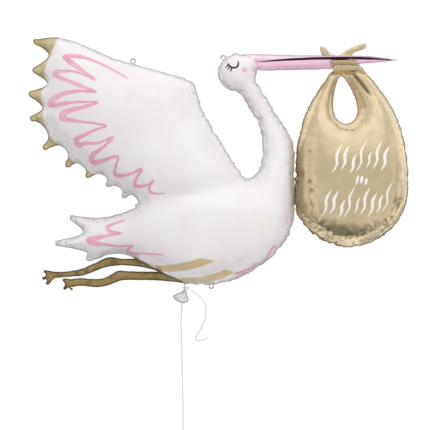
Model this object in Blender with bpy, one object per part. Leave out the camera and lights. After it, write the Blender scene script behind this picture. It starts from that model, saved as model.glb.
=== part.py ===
"""A stork foil balloon, about 1.5 m across, lying on its back on a flat surface.

Two welded film balloons: the stork, and the bundle whose tie goes through the slit in its beak. A curling ribbon is
knotted round the stork's filler neck and runs straight away from it to a hand loop.
+X runs from the wing to the bundle, +Y from the feet to the head, and +Z up from the surface it lies on.
"""

import math

import bmesh
import bpy
import numpy as np
from mathutils import Vector, geometry, kdtree

# Overall sizes, in metres
LENGTH = 1.50  # from the outermost wing feather to the far edge of the bundle
SEAM_HEIGHT = 0.118  # the welded seam above the surface the balloon lies on
SEAM_THICKNESS = 0.003  # the solid's edge, where two films are welded
ROUNDNESS = 0.88  # how near the film comes to a round section between its seams

FULL_RISE = 0.19  # the film of the widest parts stands off the seam by less than this

# Spacing of the points
CURVE_STEP = 0.004
EDGE_STEP = 0.024
EDGE_TURN = math.radians(17)
NET_STEP = 0.030
NET_LEAST = 0.013

# Hanging tabs, and the tie that goes round the beak and through its slit
TAB_RADIUS = 0.012
TAB_HOLE_RADIUS = 0.0062
TIE_WIDTH = 0.100
TIE_THICKNESS = 0.002
TIE_PLAY = 0.003  # between the tie and the edge of the slit, all round
TIE_GAP = 0.0015  # between the tie and the beak's film
EAR_ROUNDNESS = 0.5

# The filler neck and the ribbon
WAIST_RADIUS = 0.0045  # the room the gathered film takes inside the knot
WAIST_LENGTH = 0.022
RIBBON_WIDTH = 0.005
RING_RADIUS = 0.0022  # of the turns of ribbon round the neck
KNOT_RADIUS = 0.0048
TOUCH_GAP = 0.0003  # between pieces that touch
LOOP_RADIUS = 0.030
LOOP_STRETCH = 1.35

# The drawing of the balloon. Its points are in hundredths of LENGTH, from the outermost wing feather in X and from the
# level of the belly in Y. A third number is half the width of a limb there.
WING_FRONT = [
    (6.9, 65.7), (10.9, 64.9), (16.2, 62.8), (21.9, 60.3), (27.5, 58.6), (33.8, 56.9), (40.1, 55.2), (43.3, 53.7), (44.7, 50.1),
    (46.2, 46.2), (49.3, 40.4), (52.7, 35.0), (55.6, 30.4), (57.2, 28.4),
]
WING_ROOT = [(58.3, 22.8), (34.6, 16.2)]
WING_TIPS = [
    (1.3, 64.6), (1.0, 56.8), (0.0, 50.7), (0.3, 44.1), (3.8, 36.2), (9.9, 31.4), (15.1, 28.7), (20.4, 26.3),
    (24.7, 23.3), (28.1, 21.6),
]
# The lower feathers are hooked, so their valleys have a hollow and then a shoulder
WING_VALLEYS = [
    [(5.3, 60.9)], [(4.9, 53.3)], [(3.7, 47.0)], [(3.4, 42.5), (5.2, 39.4)], [(8.0, 37.1), (10.3, 35.0)],
    [(12.7, 32.4), (14.9, 30.9)], [(18.3, 29.6), (20.5, 28.6)], [(22.8, 26.5), (24.6, 25.4)],
    [(27.0, 24.1), (28.4, 23.1)],
]
BODY = [
    (57.2, 28.4), (58.9, 28.9), (60.0, 30.2), (61.0, 32.2), (61.5, 34.6), (65.6, 35.6), (69.8, 35.9), (70.1, 32.0),
    (70.1, 22.0), (69.8, 17.2), (68.7, 13.6), (66.6, 10.4), (63.8, 7.4), (60.6, 4.9), (56.9, 2.8), (52.7, 1.2), (48.5, 0.4),
    (44.6, 0.4), (40.9, 0.7), (37.9, 2.0), (34.1, 3.9), (29.3, 6.8), (26.2, 9.6), (25.6, 16.2), (28.5, 20.9),
]
NECK = [
    (56.7, 53.3, 2.8), (59.4, 49.8, 2.8), (61.35, 46.5, 2.75), (63.0, 43.6, 2.9), (64.5, 40.4, 3.5), (65.5, 37.2, 4.15),
    (65.8, 34.3, 4.2),
]
HEAD = (54.9, 56.4, 5.16)
BEAK_TOP = [(56.4, 61.1), (58.8, 61.2), (64.1, 61.1), (79.1, 60.8), (89.8, 60.7), (97.3, 59.6)]
BEAK_BOTTOM = [(97.3, 59.6), (92.5, 59.0), (86.4, 58.5), (79.6, 57.3), (71.4, 57.0), (61.4, 56.8), (58.3, 57.0)]
MOUTH = [(60.1, 59.2), (66.3, 59.6), (71.4, 59.8), (79.3, 59.9), (85.1, 60.0), (90.4, 59.9), (95.9, 59.6)]
SLIT = (83.0, 59.95)
TAIL_TOP = [(30.5, 21.5), (28.5, 20.9), (25.4, 19.7), (21.4, 18.6), (18.0, 18.1)]
TAIL_TIPS = [(10.9, 18.2), (7.2, 11.4), (15.2, 7.0)]
TAIL_VALLEYS = [[(14.3, 14.2)], [(14.9, 9.1)]]
TAIL_BOTTOM = [(18.7, 7.4), (20.4, 8.2), (23.8, 8.6), (26.5, 8.0), (30.6, 6.2)]
UPPER_LEG = [
    (34.6, 5.0, 1.15), (31.9, 5.8, 1.15), (28.5, 6.35, 1.05), (24.6, 6.4, 0.9), (21.3, 6.5, 1.25), (18.1, 5.4, 1.05),
    (14.1, 3.8, 0.95), (9.8, 3.2, 0.75), (6.9, 3.1, 0.85),
]
UPPER_TOES = [(3.9, 4.1), (3.5, 2.0), (4.6, 0.5)]
LOWER_LEG = [
    (41.0, 1.7, 0.85), (37.7, 2.4, 1.15), (34.1, 2.75, 1.2), (29.3, 2.8, 1.15), (25.6, 2.9, 1.2), (23.6, 2.75, 1.35),
    (20.5, 1.3, 1.1), (17.5, 0.9, 1.1), (14.1, 1.2, 1.05), (10.9, 0.9, 1.1),
]
LOWER_TOES = [(8.9, 1.9), (9.2, -0.8), (11.6, -0.9)]
FILLER_WAIST = (41.1, -0.35)
FILLER_FLARE = [(38.0, -2.8), (38.6, -3.5), (41.2, -4.3), (41.8, -4.0)]
FILLER_FLAT = [(40.4, -1.6), (39.9, -3.4)]
TABS = [(27.5, 59.3), (51.2, 60.2), (48.1, 0.1)]
WING_CREASE = [(28.5, 21.1), (36.2, 22.8), (43.0, 24.1), (48.3, 25.4), (55.1, 26.2), (57.2, 28.4)]
LEG_CREASE = [(29.3, 6.8), (32.2, 5.4), (34.1, 4.1), (37.2, 2.8), (39.3, 2.0), (40.9, 0.9)]
BUNDLE = [
    (79.9, 56.6), (78.0, 54.3), (75.6, 50.9), (73.7, 47.4), (72.2, 43.8), (71.2, 39.6), (70.6, 35.9), (70.4, 30.7),
    (70.4, 24.9), (70.6, 20.9), (72.1, 17.3), (74.6, 14.5), (77.9, 12.2), (81.6, 10.7), (84.9, 10.4), (88.8, 11.1),
    (92.5, 12.8), (95.6, 15.1), (97.9, 18.2), (99.4, 21.7), (100.0, 26.7), (99.8, 32.5), (99.0, 38.1), (97.5, 43.3),
    (95.1, 48.2), (91.9, 52.8), (89.3, 55.8), (87.2, 57.7), (83.5, 56.7),
]
BUNDLE_HOLE = [
    (82.3, 55.3), (83.9, 53.6), (85.2, 51.2), (86.2, 48.6), (86.5, 46.3), (85.9, 44.2), (84.4, 43.0), (82.6, 43.0),
    (81.0, 44.3), (80.2, 46.6), (80.3, 50.1), (81.2, 53.8),
]
TIE_FOOT = 56.1  # where the band of the tie leaves the bundle
LEFT_EAR = [(82.0, 60.3), (80.4, 61.2), (79.4, 61.6), (78.7, 62.6), (77.7, 63.3), (76.8, 63.1), (77.2, 61.3), (78.6, 60.3)]
RIGHT_EAR = [
    (81.2, 60.3), (82.4, 61.3), (83.9, 62.4), (85.4, 63.2), (88.5, 64.2), (89.0, 63.7), (88.4, 62.7), (85.7, 61.7),
    (84.8, 60.3),
]
FEATHER_TIP = 0.70  # radius of a wing or tail feather's end
TOE_TIP = 0.35

# The ribbon's route, in metres: X and Y from the middle of its turns round the filler neck, Z from the surface below
RIBBON_ROUTE = [
    (0.0102, -0.0036, 0.1144), (0.0095, -0.0070, 0.1110), (0.0068, -0.0155, 0.1010), (0.0025, -0.0260, 0.0860),
    (-0.0030, -0.0385, 0.0660), (-0.0085, -0.0530, 0.0440), (-0.0130, -0.0700, 0.0245), (-0.0160, -0.0920, 0.0105),
    (-0.0178, -0.1180, 0.0040), (-0.0183, -0.1480, 0.0026), (-0.0178, -0.1900, 0.0026), (-0.0168, -0.2400, 0.0026),
    (-0.0150, -0.3000, 0.0026), (-0.0136, -0.3600, 0.0026), (-0.0120, -0.4200, 0.0026), (-0.0107, -0.4850, 0.0026),
    (-0.0106, -0.5500, 0.0026), (-0.0106, -0.6180, 0.0026),
]
TAIL_ROUTE = [
    (0.0152, -0.0029, 0.1169), (0.0190, -0.0055, 0.1158), (0.0270, -0.0125, 0.1130), (0.0367, -0.0200, 0.1085),
    (0.0500, -0.0300, 0.1030), (0.0620, -0.0400, 0.0960), (0.0754, -0.0584, 0.0820), (0.0817, -0.0782, 0.0660),
    (0.0825, -0.1046, 0.0470), (0.0801, -0.1310, 0.0310), (0.0758, -0.1571, 0.0180), (0.0647, -0.1831, 0.0080),
    (0.0520, -0.2045, 0.0035), (0.0425, -0.2200, 0.0026), (0.0390, -0.2320, 0.0026), (0.0440, -0.2430, 0.0026),
    (0.0560, -0.2460, 0.0026), (0.0680, -0.2400, 0.0026), (0.0790, -0.2320, 0.0026), (0.0890, -0.2240, 0.0026),
]
KNOT_OFFSET = 0.011  # from the middle of the neck to the middle of the knot beside it


def scaled(points):
    """Points of the drawing, in metres."""
    return np.array(points, float) * LENGTH / 100


def smooth(points, step=CURVE_STEP, closed=False):
    """Points about a step apart along a smooth curve through the given ones."""
    points = np.asarray(points, float)
    if closed:
        padded = np.concatenate([points[-1:], points, points[:2]])
    else:
        padded = np.concatenate([2 * points[:1] - points[1:2], points, 2 * points[-1:] - points[-2:-1]])
    found = []
    for a, b, c, d in zip(padded, padded[1:], padded[2:], padded[3:]):
        count = max(1, round(float(np.linalg.norm(c - b)) / step))
        t = (np.arange(count) / count)[:, None]
        found.append(b + (c - a) * t / 2 + (a - 2.5 * b + 2 * c - d / 2) * t**2 + (1.5 * (b - c) + (d - a) / 2) * t**3)
    if not closed:
        found.append(points[-1:])
    return np.concatenate(found)


def circle(centre, radius, count=20):
    turn = np.arange(count) * 2 * math.pi / count
    return np.asarray(centre)[:2] + radius * np.stack([np.cos(turn), np.sin(turn)], axis=1)


def limb(stations):
    """The outline of a limb, from stations along its middle that give half its width."""
    line = smooth(scaled(stations))
    along = np.gradient(line[:, :2], axis=0)
    along /= np.linalg.norm(along, axis=1, keepdims=True)
    across = np.stack([-along[:, 1], along[:, 0]], axis=1) * line[:, 2:]
    return np.concatenate([line[:, :2] + across, (line[:, :2] - across)[::-1]])


def fingers(start, tips, valleys, end, radius):
    """An edge with round-ended fingers between valleys of one point or more; start and end are the outer valleys."""
    lows = [scaled(valley) for valley in ([start], *valleys, [end])]
    radius = radius * LENGTH / 100
    points = [lows[0]]
    for before, tip, after in zip(lows, scaled(tips), lows[1:]):
        inward = (before[-1] + after[0]) / 2 - tip
        inward /= np.linalg.norm(inward)
        side = np.array([inward[1], -inward[0]])
        if np.dot(side, after[0] - before[-1]) < 0:
            side = -side
        for angle in (-1.2, 0.0, 1.2):
            arc = tip + inward * radius * (1 - math.cos(angle)) + side * radius * math.sin(angle)
            points.append(arc[None])
        points.append(after)
    return smooth(np.concatenate(points))


def foot(leg, toes):
    """Toes fanned out from the end of a leg."""
    ankle = np.array(leg[-1][:2])
    width = leg[-1][2]
    back = np.array(leg[-2][:2]) - ankle
    back /= np.linalg.norm(back)
    side = np.array([-back[1], back[0]])
    if np.dot(side, np.array(toes[0]) - ankle) < 0:
        side = -side
    first, last = ankle + side * width, ankle - side * width
    valleys = [[ankle + (np.array(a) + np.array(b) - 2 * ankle) * 0.36] for a, b in zip(toes, toes[1:])]
    edge = fingers(first, toes, valleys, last, TOE_TIP)
    return np.concatenate([edge, scaled([last + back, first + back])])


def inside(points, loop):
    """Whether each point lies inside a closed loop."""
    x, y = points.T
    found = np.zeros(len(points), bool)
    for (ax, ay), (bx, by) in zip(loop, np.roll(loop, -1, axis=0)):
        if ay != by:
            found ^= ((ay > y) != (by > y)) & (x < ax + (y - ay) * (bx - ax) / (by - ay))
    return found


def triangulate(points, edges, faces):
    """Corners and triangles of a flat net that keeps the given edges and the edges of the given faces."""
    corners, _, triangles, *_ = geometry.delaunay_2d_cdt([Vector(p) for p in points], edges, faces, 1, 1e-6)
    return np.array([tuple(p) for p in corners]), np.array(triangles)


def rims(triangles):
    """The closed loops of corners along the rim of a net, the longest first."""
    following = {}
    directed = {(a, b) for tri in triangles for a, b in zip(tri, np.roll(tri, -1))}
    for a, b in directed:
        if (b, a) not in directed:
            following[a] = b
    loops = []
    while following:
        loop = [next(iter(following))]
        while loop[-1] in following:
            loop.append(following.pop(loop[-1]))
        loops.append(loop[:-1])
    return sorted(loops, key=len, reverse=True)


def joined(shapes):
    """The outer edge of overlapping flat shapes, as one welded blank has it."""
    faces, start = [], 0
    for shape in shapes:
        faces.append(list(range(start, start + len(shape))))
        start += len(shape)
    corners, triangles = triangulate(np.concatenate(shapes), [], faces)
    return corners[rims(triangles)[0]]


def thinned(loop, step=EDGE_STEP):
    """A loop with a point only at each step and each marked turn."""
    kept, run, turned = [loop[0]], 0.0, 0.0
    ends = np.roll(loop, -1, axis=0)
    heading = np.arctan2(*(ends - loop).T[::-1])
    for i in range(1, len(loop)):
        run += float(np.linalg.norm(loop[i] - loop[i - 1]))
        turned += (heading[i] - heading[i - 1] + math.pi) % (2 * math.pi) - math.pi
        if run >= step or (abs(turned) > EDGE_TURN and run > NET_LEAST / 3):
            kept.append(loop[i])
            run, turned = 0.0, 0.0
    return np.array(kept)


def net_points(outline, holes, lines, step):
    """Points that fill an outline: from the middle of each limb outwards, closer together where it is narrow."""
    low, high = outline.min(axis=0), outline.max(axis=0)
    grid = np.stack(np.meshgrid(*(np.arange(a, b, CURVE_STEP) for a, b in zip(low, high))), axis=-1).reshape(-1, 2)
    grid = grid[inside(grid, outline)]
    for hole in holes:
        grid = grid[~inside(grid, hole)]
    closed = [np.concatenate([loop, loop[:1]]) for loop in (outline, *holes)]
    edge = np.concatenate([smooth(line, CURVE_STEP) for line in (*closed, *lines)])
    tree = kdtree.KDTree(len(edge))
    for i, (x, y) in enumerate(edge):
        tree.insert((x, y, 0), i)
    tree.balance()
    depth = np.array([tree.find((x, y, 0))[2] for x, y in grid])
    order = np.argsort(-depth, kind="stable")
    grid, depth = grid[order], depth[order]
    free = depth > NET_LEAST * 0.35
    found = []
    for i in range(len(grid)):
        if free[i]:
            found.append(grid[i])
            reach = min(step, max(NET_LEAST, 1.5 * depth[i]))
            free &= ((grid - grid[i]) ** 2).sum(axis=1) > reach**2
    return np.array(found)


def film_rise(corners, triangles, held):
    """How far the film stands off its seam: the root of the height that a soap film takes over the same outline."""
    stiffness = np.zeros((len(corners), len(corners)))
    load = np.zeros(len(corners))
    for tri in triangles:
        p = corners[tri]
        side = np.roll(p, -1, axis=0) - np.roll(p, 1, axis=0)
        area = abs(side[0, 0] * side[1, 1] - side[0, 1] * side[1, 0]) / 2
        stiffness[np.ix_(tri, tri)] += side @ side.T / (4 * area)
        load[tri] += area / 3
    free = np.flatnonzero(~held)
    height = np.zeros(len(corners))
    height[free] = np.linalg.solve(stiffness[np.ix_(free, free)], load[free])
    return np.sqrt(2 * np.maximum(height, 0))


def crease_share(corners, line, width):
    """How near each corner lies to a crease, from 0 to 1 on it."""
    line = smooth(scaled(line))
    gap = np.array([np.sqrt(((line - corner) ** 2).sum(axis=1).min()) for corner in corners])
    return np.exp(-((gap / width) ** 2))


def balloon_mesh(name, outline, holes=(), lines=(), creases=(), roundness=ROUNDNESS, step=NET_STEP):
    """A welded balloon as a closed mesh with its seam at height 0: a flat net, thickened to the weld, with its two
    sheets blown apart. The lower one is flat where it would pass the surface below."""
    outline = thinned(outline)
    rows = [outline, *holes, *lines]
    starts = np.cumsum([0, *(len(row) for row in rows)])
    edges = []
    for i, row in enumerate(rows):
        count = len(row) if i <= len(holes) else len(row) - 1
        edges += [(int(starts[i] + j), int(starts[i] + (j + 1) % len(row))) for j in range(count)]
    points = np.concatenate([*rows, net_points(outline, holes, lines, step)])
    corners, triangles = triangulate(points, edges, [])
    middles = corners[triangles].mean(axis=1)
    for hole in holes:
        triangles, middles = triangles[~inside(middles, hole)], middles[~inside(middles, hole)]
    tree = kdtree.KDTree(int(starts[-1]))
    for i, (x, y) in enumerate(points[: starts[-1]]):
        tree.insert((x, y, 0), i)
    tree.balance()
    held = np.array([tree.find((x, y, 0))[2] < 1e-6 for x, y in corners])
    rise = FULL_RISE * np.tanh(film_rise(corners, triangles, held) * roundness / FULL_RISE)
    for line, width, depth in creases:
        rise *= 1 - depth * crease_share(corners, line, width)

    bm = bmesh.new()
    rise_layer = bm.verts.layers.float.new("rise")
    for (x, y), height in zip(corners, rise):
        bm.verts.new((x, y, SEAM_THICKNESS / 2))[rise_layer] = height
    bm.verts.ensure_lookup_table()
    for tri in triangles:
        bm.faces.new([bm.verts[i] for i in tri])
    upper = bm.verts[:]
    lower = bmesh.ops.extrude_face_region(bm, geom=bm.faces[:])["geom"]
    for vert in upper:
        vert.co.z += vert[rise_layer]
    for vert in lower:
        if isinstance(vert, bmesh.types.BMVert):
            vert.co.z = max(-SEAM_HEIGHT, -SEAM_THICKNESS / 2 - vert[rise_layer])
    bmesh.ops.recalc_face_normals(bm, faces=bm.faces)
    mesh = bpy.data.meshes.new(name)
    bm.to_mesh(mesh)
    bm.free()
    mesh.shade_smooth()
    mesh.set_sharp_from_angle(angle=math.radians(40))
    return mesh


def material(name, colour, roughness, metallic=0.0):
    made = bpy.data.materials.new(name)
    made.use_nodes = True
    shader = made.node_tree.nodes["Principled BSDF"]
    shader.inputs["Base Color"].default_value = (*colour, 1)
    shader.inputs["Roughness"].default_value = roughness
    shader.inputs["Metallic"].default_value = metallic
    made.diffuse_color = (*colour, 1)
    return made


def add_object(name, data, finish, collection, parent, height=0.0):
    if not data.materials:
        data.materials.append(finish)
    piece = bpy.data.objects.new(name, data)
    collection.objects.link(piece)
    piece.parent = parent
    piece.location.z = height
    return piece


def add_helper(name, data, collection, parent, height):
    """A shape that is only joined to another one."""
    piece = bpy.data.objects.new(name, data)
    collection.objects.link(piece)
    piece.parent = parent
    piece.location.z = height
    piece.hide_render = True
    piece.display_type = "WIRE"
    return piece


def join(piece, other):
    modifier = piece.modifiers.new(other.name, "BOOLEAN")
    modifier.operation = "UNION"
    modifier.solver = "EXACT"
    modifier.object = other


def filler_outline():
    """The narrow neck and the flared end of the filler."""
    middle = scaled(FILLER_WAIST)
    side = np.array([WAIST_RADIUS * 0.8, 0])
    top, bottom = np.array([0, WAIST_LENGTH]), np.array([0, -WAIST_LENGTH / 4])
    neck = [middle - side + bottom, middle - side + top, middle + side + top, middle + side + bottom]
    return np.array([*neck, *scaled(FILLER_FLARE)[::-1]])


def stork_outline():
    """The edge of the stork's welded blank."""
    feathers = fingers(WING_FRONT[0], WING_TIPS, WING_VALLEYS, WING_ROOT[1], FEATHER_TIP)
    wing = np.concatenate([smooth(scaled(WING_FRONT)), scaled(WING_ROOT), feathers[::-1]])
    tail_tips = fingers(TAIL_TOP[-1], TAIL_TIPS, TAIL_VALLEYS, TAIL_BOTTOM[0], FEATHER_TIP)
    tail = np.concatenate([smooth(scaled(TAIL_TOP)), tail_tips, smooth(scaled(TAIL_BOTTOM))])
    beak = np.concatenate([smooth(scaled(BEAK_TOP)), smooth(scaled(BEAK_BOTTOM))])
    x, y, radius = scaled(HEAD)
    shapes = [wing, smooth(scaled(BODY), closed=True), limb(NECK), circle((x, y), radius, 72), beak, tail]
    for leg, toes in ((UPPER_LEG, UPPER_TOES), (LOWER_LEG, LOWER_TOES)):
        shapes += [limb(leg), foot(leg, toes)]
    shapes += [circle(scaled(tab), TAB_RADIUS) for tab in TABS]
    return joined([*shapes, filler_outline()])


def slit_loop():
    """The slot in the beak, which lets the tie through."""
    round_end = TIE_THICKNESS / 2 + TIE_PLAY
    half = np.array([TIE_WIDTH / 2 + TIE_PLAY - round_end, 0])
    end = circle((0, 0), round_end, 8)
    side = np.where(end[:, :1] + end[:, 1:] * 0.1 > 0, 1.0, -1.0)
    return scaled(SLIT) + end + side * half


def mouth_welds(slit):
    """The weld between the two halves of the beak, before and behind the slit."""
    line = smooth(scaled(MOUTH), NET_LEAST)
    left, right = slit[slit[:, 0].argmin()], slit[slit[:, 0].argmax()]
    before = line[line[:, 0] < left[0] - NET_LEAST / 2]
    behind = line[line[:, 0] > right[0] + NET_LEAST / 2]
    return [np.concatenate([before, left[None]]), np.concatenate([right[None], behind])]


def stork_mesh():
    slit = slit_loop()
    holes = [slit, *(circle(scaled(tab), TAB_HOLE_RADIUS, 10) for tab in TABS)]
    creases = [(WING_CREASE, 0.030, 0.25), (LEG_CREASE, 0.014, 0.5), (FILLER_FLAT, 0.014, 1.0)]
    return balloon_mesh("stork", stork_outline(), holes, mouth_welds(slit), creases)


def beak_rise(mesh, above):
    """The most that the film stands off the seam beside the slit, above or below it in the drawing."""
    x, y = scaled(SLIT)
    best = 0.0
    for vert in mesh.vertices:
        beside = abs(vert.co.x - x) < TIE_WIDTH / 2 + NET_STEP
        away = (vert.co.y - y) * (1 if above else -1)
        if beside and 0 < away < NET_STEP * 1.5:
            best = max(best, vert.co.z)
    return best


def tie_mesh(front, back):
    """The band of the tie: from the bundle's top, over the lower half of the beak, through the slit and up behind."""
    x, slit = scaled(SLIT)
    foot = TIE_FOOT * LENGTH / 100
    bend = TIE_THICKNESS + TIE_PLAY
    route = smooth([
        (foot, 0.0), (foot + 0.012, front * 0.7), (foot + 0.024, front), (slit - 1.5 * bend, front),
        (slit, front - bend), (slit, bend - back), (slit + bend, -back), (slit + 0.012, -back),
    ], CURVE_STEP)
    along = np.gradient(route, axis=0)
    along /= np.linalg.norm(along, axis=1, keepdims=True)
    across = np.stack([-along[:, 1], along[:, 0]], axis=1) * TIE_THICKNESS / 2
    section = np.concatenate([route + across, (route - across)[::-1]])
    bm = bmesh.new()
    face = bm.faces.new([bm.verts.new((x - TIE_WIDTH / 2, y, z)) for y, z in section])
    swept = bmesh.ops.extrude_face_region(bm, geom=[face])["geom"]
    moved = [item for item in swept if isinstance(item, bmesh.types.BMVert)]
    bmesh.ops.translate(bm, verts=moved, vec=(TIE_WIDTH, 0, 0))
    bmesh.ops.recalc_face_normals(bm, faces=bm.faces)
    mesh = bpy.data.meshes.new("tie_band")
    bm.to_mesh(mesh)
    bm.free()
    return mesh


def add_bundle(beak, finish, parts, helpers, stand):
    """The bundle, with its tie round the beak."""
    hole = thinned(smooth(scaled(BUNDLE_HOLE), closed=True))
    mesh = balloon_mesh("bundle", smooth(scaled(BUNDLE), closed=True), [hole])
    bundle = add_object("bundle", mesh, finish, parts, stand, SEAM_HEIGHT)
    ears = [
        balloon_mesh(name, smooth(scaled(ear), closed=True), roundness=EAR_ROUNDNESS, step=NET_LEAST)
        for name, ear in (("left_ear", LEFT_EAR), ("right_ear", RIGHT_EAR))
    ]
    ear_rise = max(vert.co.z for ear in ears for vert in ear.vertices)
    front = beak_rise(beak, above=False) + TIE_GAP + TIE_THICKNESS / 2
    back = beak_rise(beak, above=True) + TIE_GAP + ear_rise
    join(bundle, add_helper("tie_band", tie_mesh(front, back), helpers, stand, SEAM_HEIGHT))
    for ear in ears:
        join(bundle, add_helper(ear.name, ear, helpers, stand, SEAM_HEIGHT - back))
    return bundle


def add_ribbon(name, route, middle, finish, parts, stand):
    """A run of ribbon along its route, as a tube as thick as the ribbon is wide."""
    curve = bpy.data.curves.new(name, "CURVE")
    curve.dimensions = "3D"
    curve.bevel_depth = RIBBON_WIDTH / 2
    curve.bevel_resolution = 2
    curve.use_fill_caps = True
    spline = curve.splines.new("POLY")
    points = smooth(np.array(route), 2.7 * RIBBON_WIDTH) + np.array([*middle, 0])
    spline.points.add(len(points) - 1)
    for point, place in zip(spline.points, points):
        point.co = (*place, 1)
    return add_object(name, curve, finish, parts, stand), points


def add_knot(name, centre, helpers, stand):
    bpy.ops.mesh.primitive_uv_sphere_add(segments=12, ring_count=8, radius=KNOT_RADIUS, location=centre)
    knot = bpy.context.object
    knot.name = name
    move_to(knot, helpers)
    knot.parent = stand
    knot.hide_render = True
    knot.display_type = "WIRE"
    return knot


def move_to(piece, collection):
    for old in list(piece.users_collection):
        old.objects.unlink(piece)
    collection.objects.link(piece)


def add_torus(name, centre, radius, tube, finish, parts, stand, turn=(0, 0, 0)):
    bpy.ops.mesh.primitive_torus_add(
        major_radius=radius, minor_radius=tube, major_segments=24, minor_segments=8, location=centre, rotation=turn
    )
    ring = bpy.context.object
    ring.name = name
    move_to(ring, parts)
    ring.parent = stand
    ring.data.materials.append(finish)
    ring.data.shade_smooth()
    return ring


def add_ribbon_pieces(finish, parts, helpers, stand):
    """The knotted turns round the filler neck, the two runs of ribbon from them, and the hand loop."""
    x, y = scaled(FILLER_WAIST)
    ring_radius = WAIST_RADIUS + TOUCH_GAP + RING_RADIUS
    ring = add_torus(
        "ribbon_knot", (x, y, SEAM_HEIGHT), ring_radius, RING_RADIUS, finish, parts, stand, (math.radians(90), 0, 0)
    )
    join(ring, add_knot("neck_knot", (x + KNOT_OFFSET, y, SEAM_HEIGHT), helpers, stand))
    _, run = add_ribbon("ribbon", RIBBON_ROUTE, (x, y), finish, parts, stand)
    add_ribbon("ribbon_tail", TAIL_ROUTE, (x, y), finish, parts, stand)
    end = run[-1]
    knot_y = end[1] - KNOT_RADIUS - TOUCH_GAP
    loop_y = knot_y - KNOT_RADIUS - LOOP_RADIUS * LOOP_STRETCH
    loop = add_torus(
        "hand_loop", (end[0], loop_y, RIBBON_WIDTH / 2), LOOP_RADIUS, RIBBON_WIDTH / 2, finish, parts, stand
    )
    for vert in loop.data.vertices:
        vert.co.y *= LOOP_STRETCH
    join(loop, add_knot("loop_knot", (end[0], knot_y, KNOT_RADIUS), helpers, stand))


def main():
    for old in list(bpy.data.objects):
        bpy.data.objects.remove(old, do_unlink=True)
    parts = bpy.data.collections.new("stork_foil_balloon")
    helpers = bpy.data.collections.new("joined_shapes")
    for collection in (parts, helpers):
        bpy.context.scene.collection.children.link(collection)
    stand = bpy.data.objects.new("origin_of_the_drawing", None)
    parts.objects.link(stand)

    pearl_film = material("pearl white film", (0.93, 0.91, 0.92), 0.22)
    gold_film = material("satin gold film", (0.62, 0.52, 0.33), 0.30, 1.0)
    ribbon_film = material("white curling ribbon", (0.85, 0.85, 0.86), 0.35)

    stork = add_object("stork", stork_mesh(), pearl_film, parts, stand, SEAM_HEIGHT)
    bundle = add_bundle(stork.data, gold_film, parts, helpers, stand)
    add_ribbon_pieces(ribbon_film, parts, helpers, stand)

    films = [stork.data, bundle.data, bpy.data.meshes["left_ear"], bpy.data.meshes["right_ear"]]
    places = np.array([vert.co[:2] for film in films for vert in film.vertices])
    middle = (places.min(axis=0) + places.max(axis=0)) / 2
    stand.location = (-middle[0], -middle[1], 0)


main()
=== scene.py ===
import bpy
import bmesh
import math
import numpy as np
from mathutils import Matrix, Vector, geometry, noise
from mathutils.bvhtree import BVHTree
from mathutils.kdtree import KDTree


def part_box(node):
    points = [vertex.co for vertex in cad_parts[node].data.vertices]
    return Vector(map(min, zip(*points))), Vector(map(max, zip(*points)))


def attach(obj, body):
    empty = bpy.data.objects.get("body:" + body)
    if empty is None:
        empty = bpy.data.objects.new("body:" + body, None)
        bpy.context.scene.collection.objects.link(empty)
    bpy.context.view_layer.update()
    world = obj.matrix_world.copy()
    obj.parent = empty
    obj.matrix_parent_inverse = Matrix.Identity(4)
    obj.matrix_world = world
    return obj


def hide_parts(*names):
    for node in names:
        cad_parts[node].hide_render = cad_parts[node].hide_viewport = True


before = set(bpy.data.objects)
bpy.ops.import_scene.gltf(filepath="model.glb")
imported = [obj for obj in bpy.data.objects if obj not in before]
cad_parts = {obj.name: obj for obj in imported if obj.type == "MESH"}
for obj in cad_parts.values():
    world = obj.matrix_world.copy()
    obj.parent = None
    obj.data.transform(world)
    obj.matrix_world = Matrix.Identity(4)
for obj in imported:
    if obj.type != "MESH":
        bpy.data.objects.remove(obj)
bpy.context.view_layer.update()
print("frame loaded")

# Drawn places are in hundredths of the balloon's length, from its left end and the underside of its belly
drawing = {
    "unit": 0.015,  # metres a hundredth
    "left": -0.74975,
    "low": -0.4598,
    "seamHeight": 0.118,
}


def placed(points):
    return np.array(points, float) * drawing["unit"] + (drawing["left"], drawing["low"])


# ---- camera, from straight above
camera = {
    "aim": (49.05, 18.82),
    "distance": 4.0,  # from the seam
    "width": 1.6974,  # of what it sees at the seam
}

cameraData = bpy.data.cameras.new("camera")
cameraData.sensor_width = 36
cameraData.lens = 36 * camera["distance"] / camera["width"]
cameraObject = bpy.data.objects.new("camera", cameraData)
bpy.context.scene.collection.objects.link(cameraObject)
cameraObject.location = (*placed([camera["aim"]])[0], drawing["seamHeight"] + camera["distance"])
bpy.context.scene.camera = cameraObject


# ---- small helpers
def linear(code):
    # sRGB hex to linear
    parts = [int(code[i:i + 2], 16) / 255 for i in (0, 2, 4)]
    return tuple(c / 12.92 if c <= 0.04045 else ((c + 0.055) / 1.055) ** 2.4 for c in parts) + (1.0,)


def addNode(tree, kind, settings=None, inputs=None):
    # each input is a socket, a hex colour or a value
    node = tree.nodes.new(kind)
    for key, value in (settings or {}).items():
        setattr(node, key, value)
    for key, value in (inputs or {}).items():
        if isinstance(value, bpy.types.NodeSocket):
            tree.links.new(value, node.inputs[key])
        else:
            node.inputs[key].default_value = linear(value) if isinstance(value, str) else value
    return node


def newMaterial(name):
    material = bpy.data.materials.new(name)
    material.use_nodes = True
    tree = material.node_tree
    return material, tree, tree.nodes["Principled BSDF"]


def linked(name, data):
    thing = bpy.data.objects.new(name, data)
    bpy.context.scene.collection.objects.link(thing)
    return thing


def meshOf(bm, name):
    mesh = bpy.data.meshes.new(name)
    bm.to_mesh(mesh)
    bm.free()
    return mesh


def setLayer(mesh, name, values):
    mesh.attributes.new(name, "FLOAT", "POINT").data.foreach_set("value", np.asarray(values, np.float32))


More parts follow.
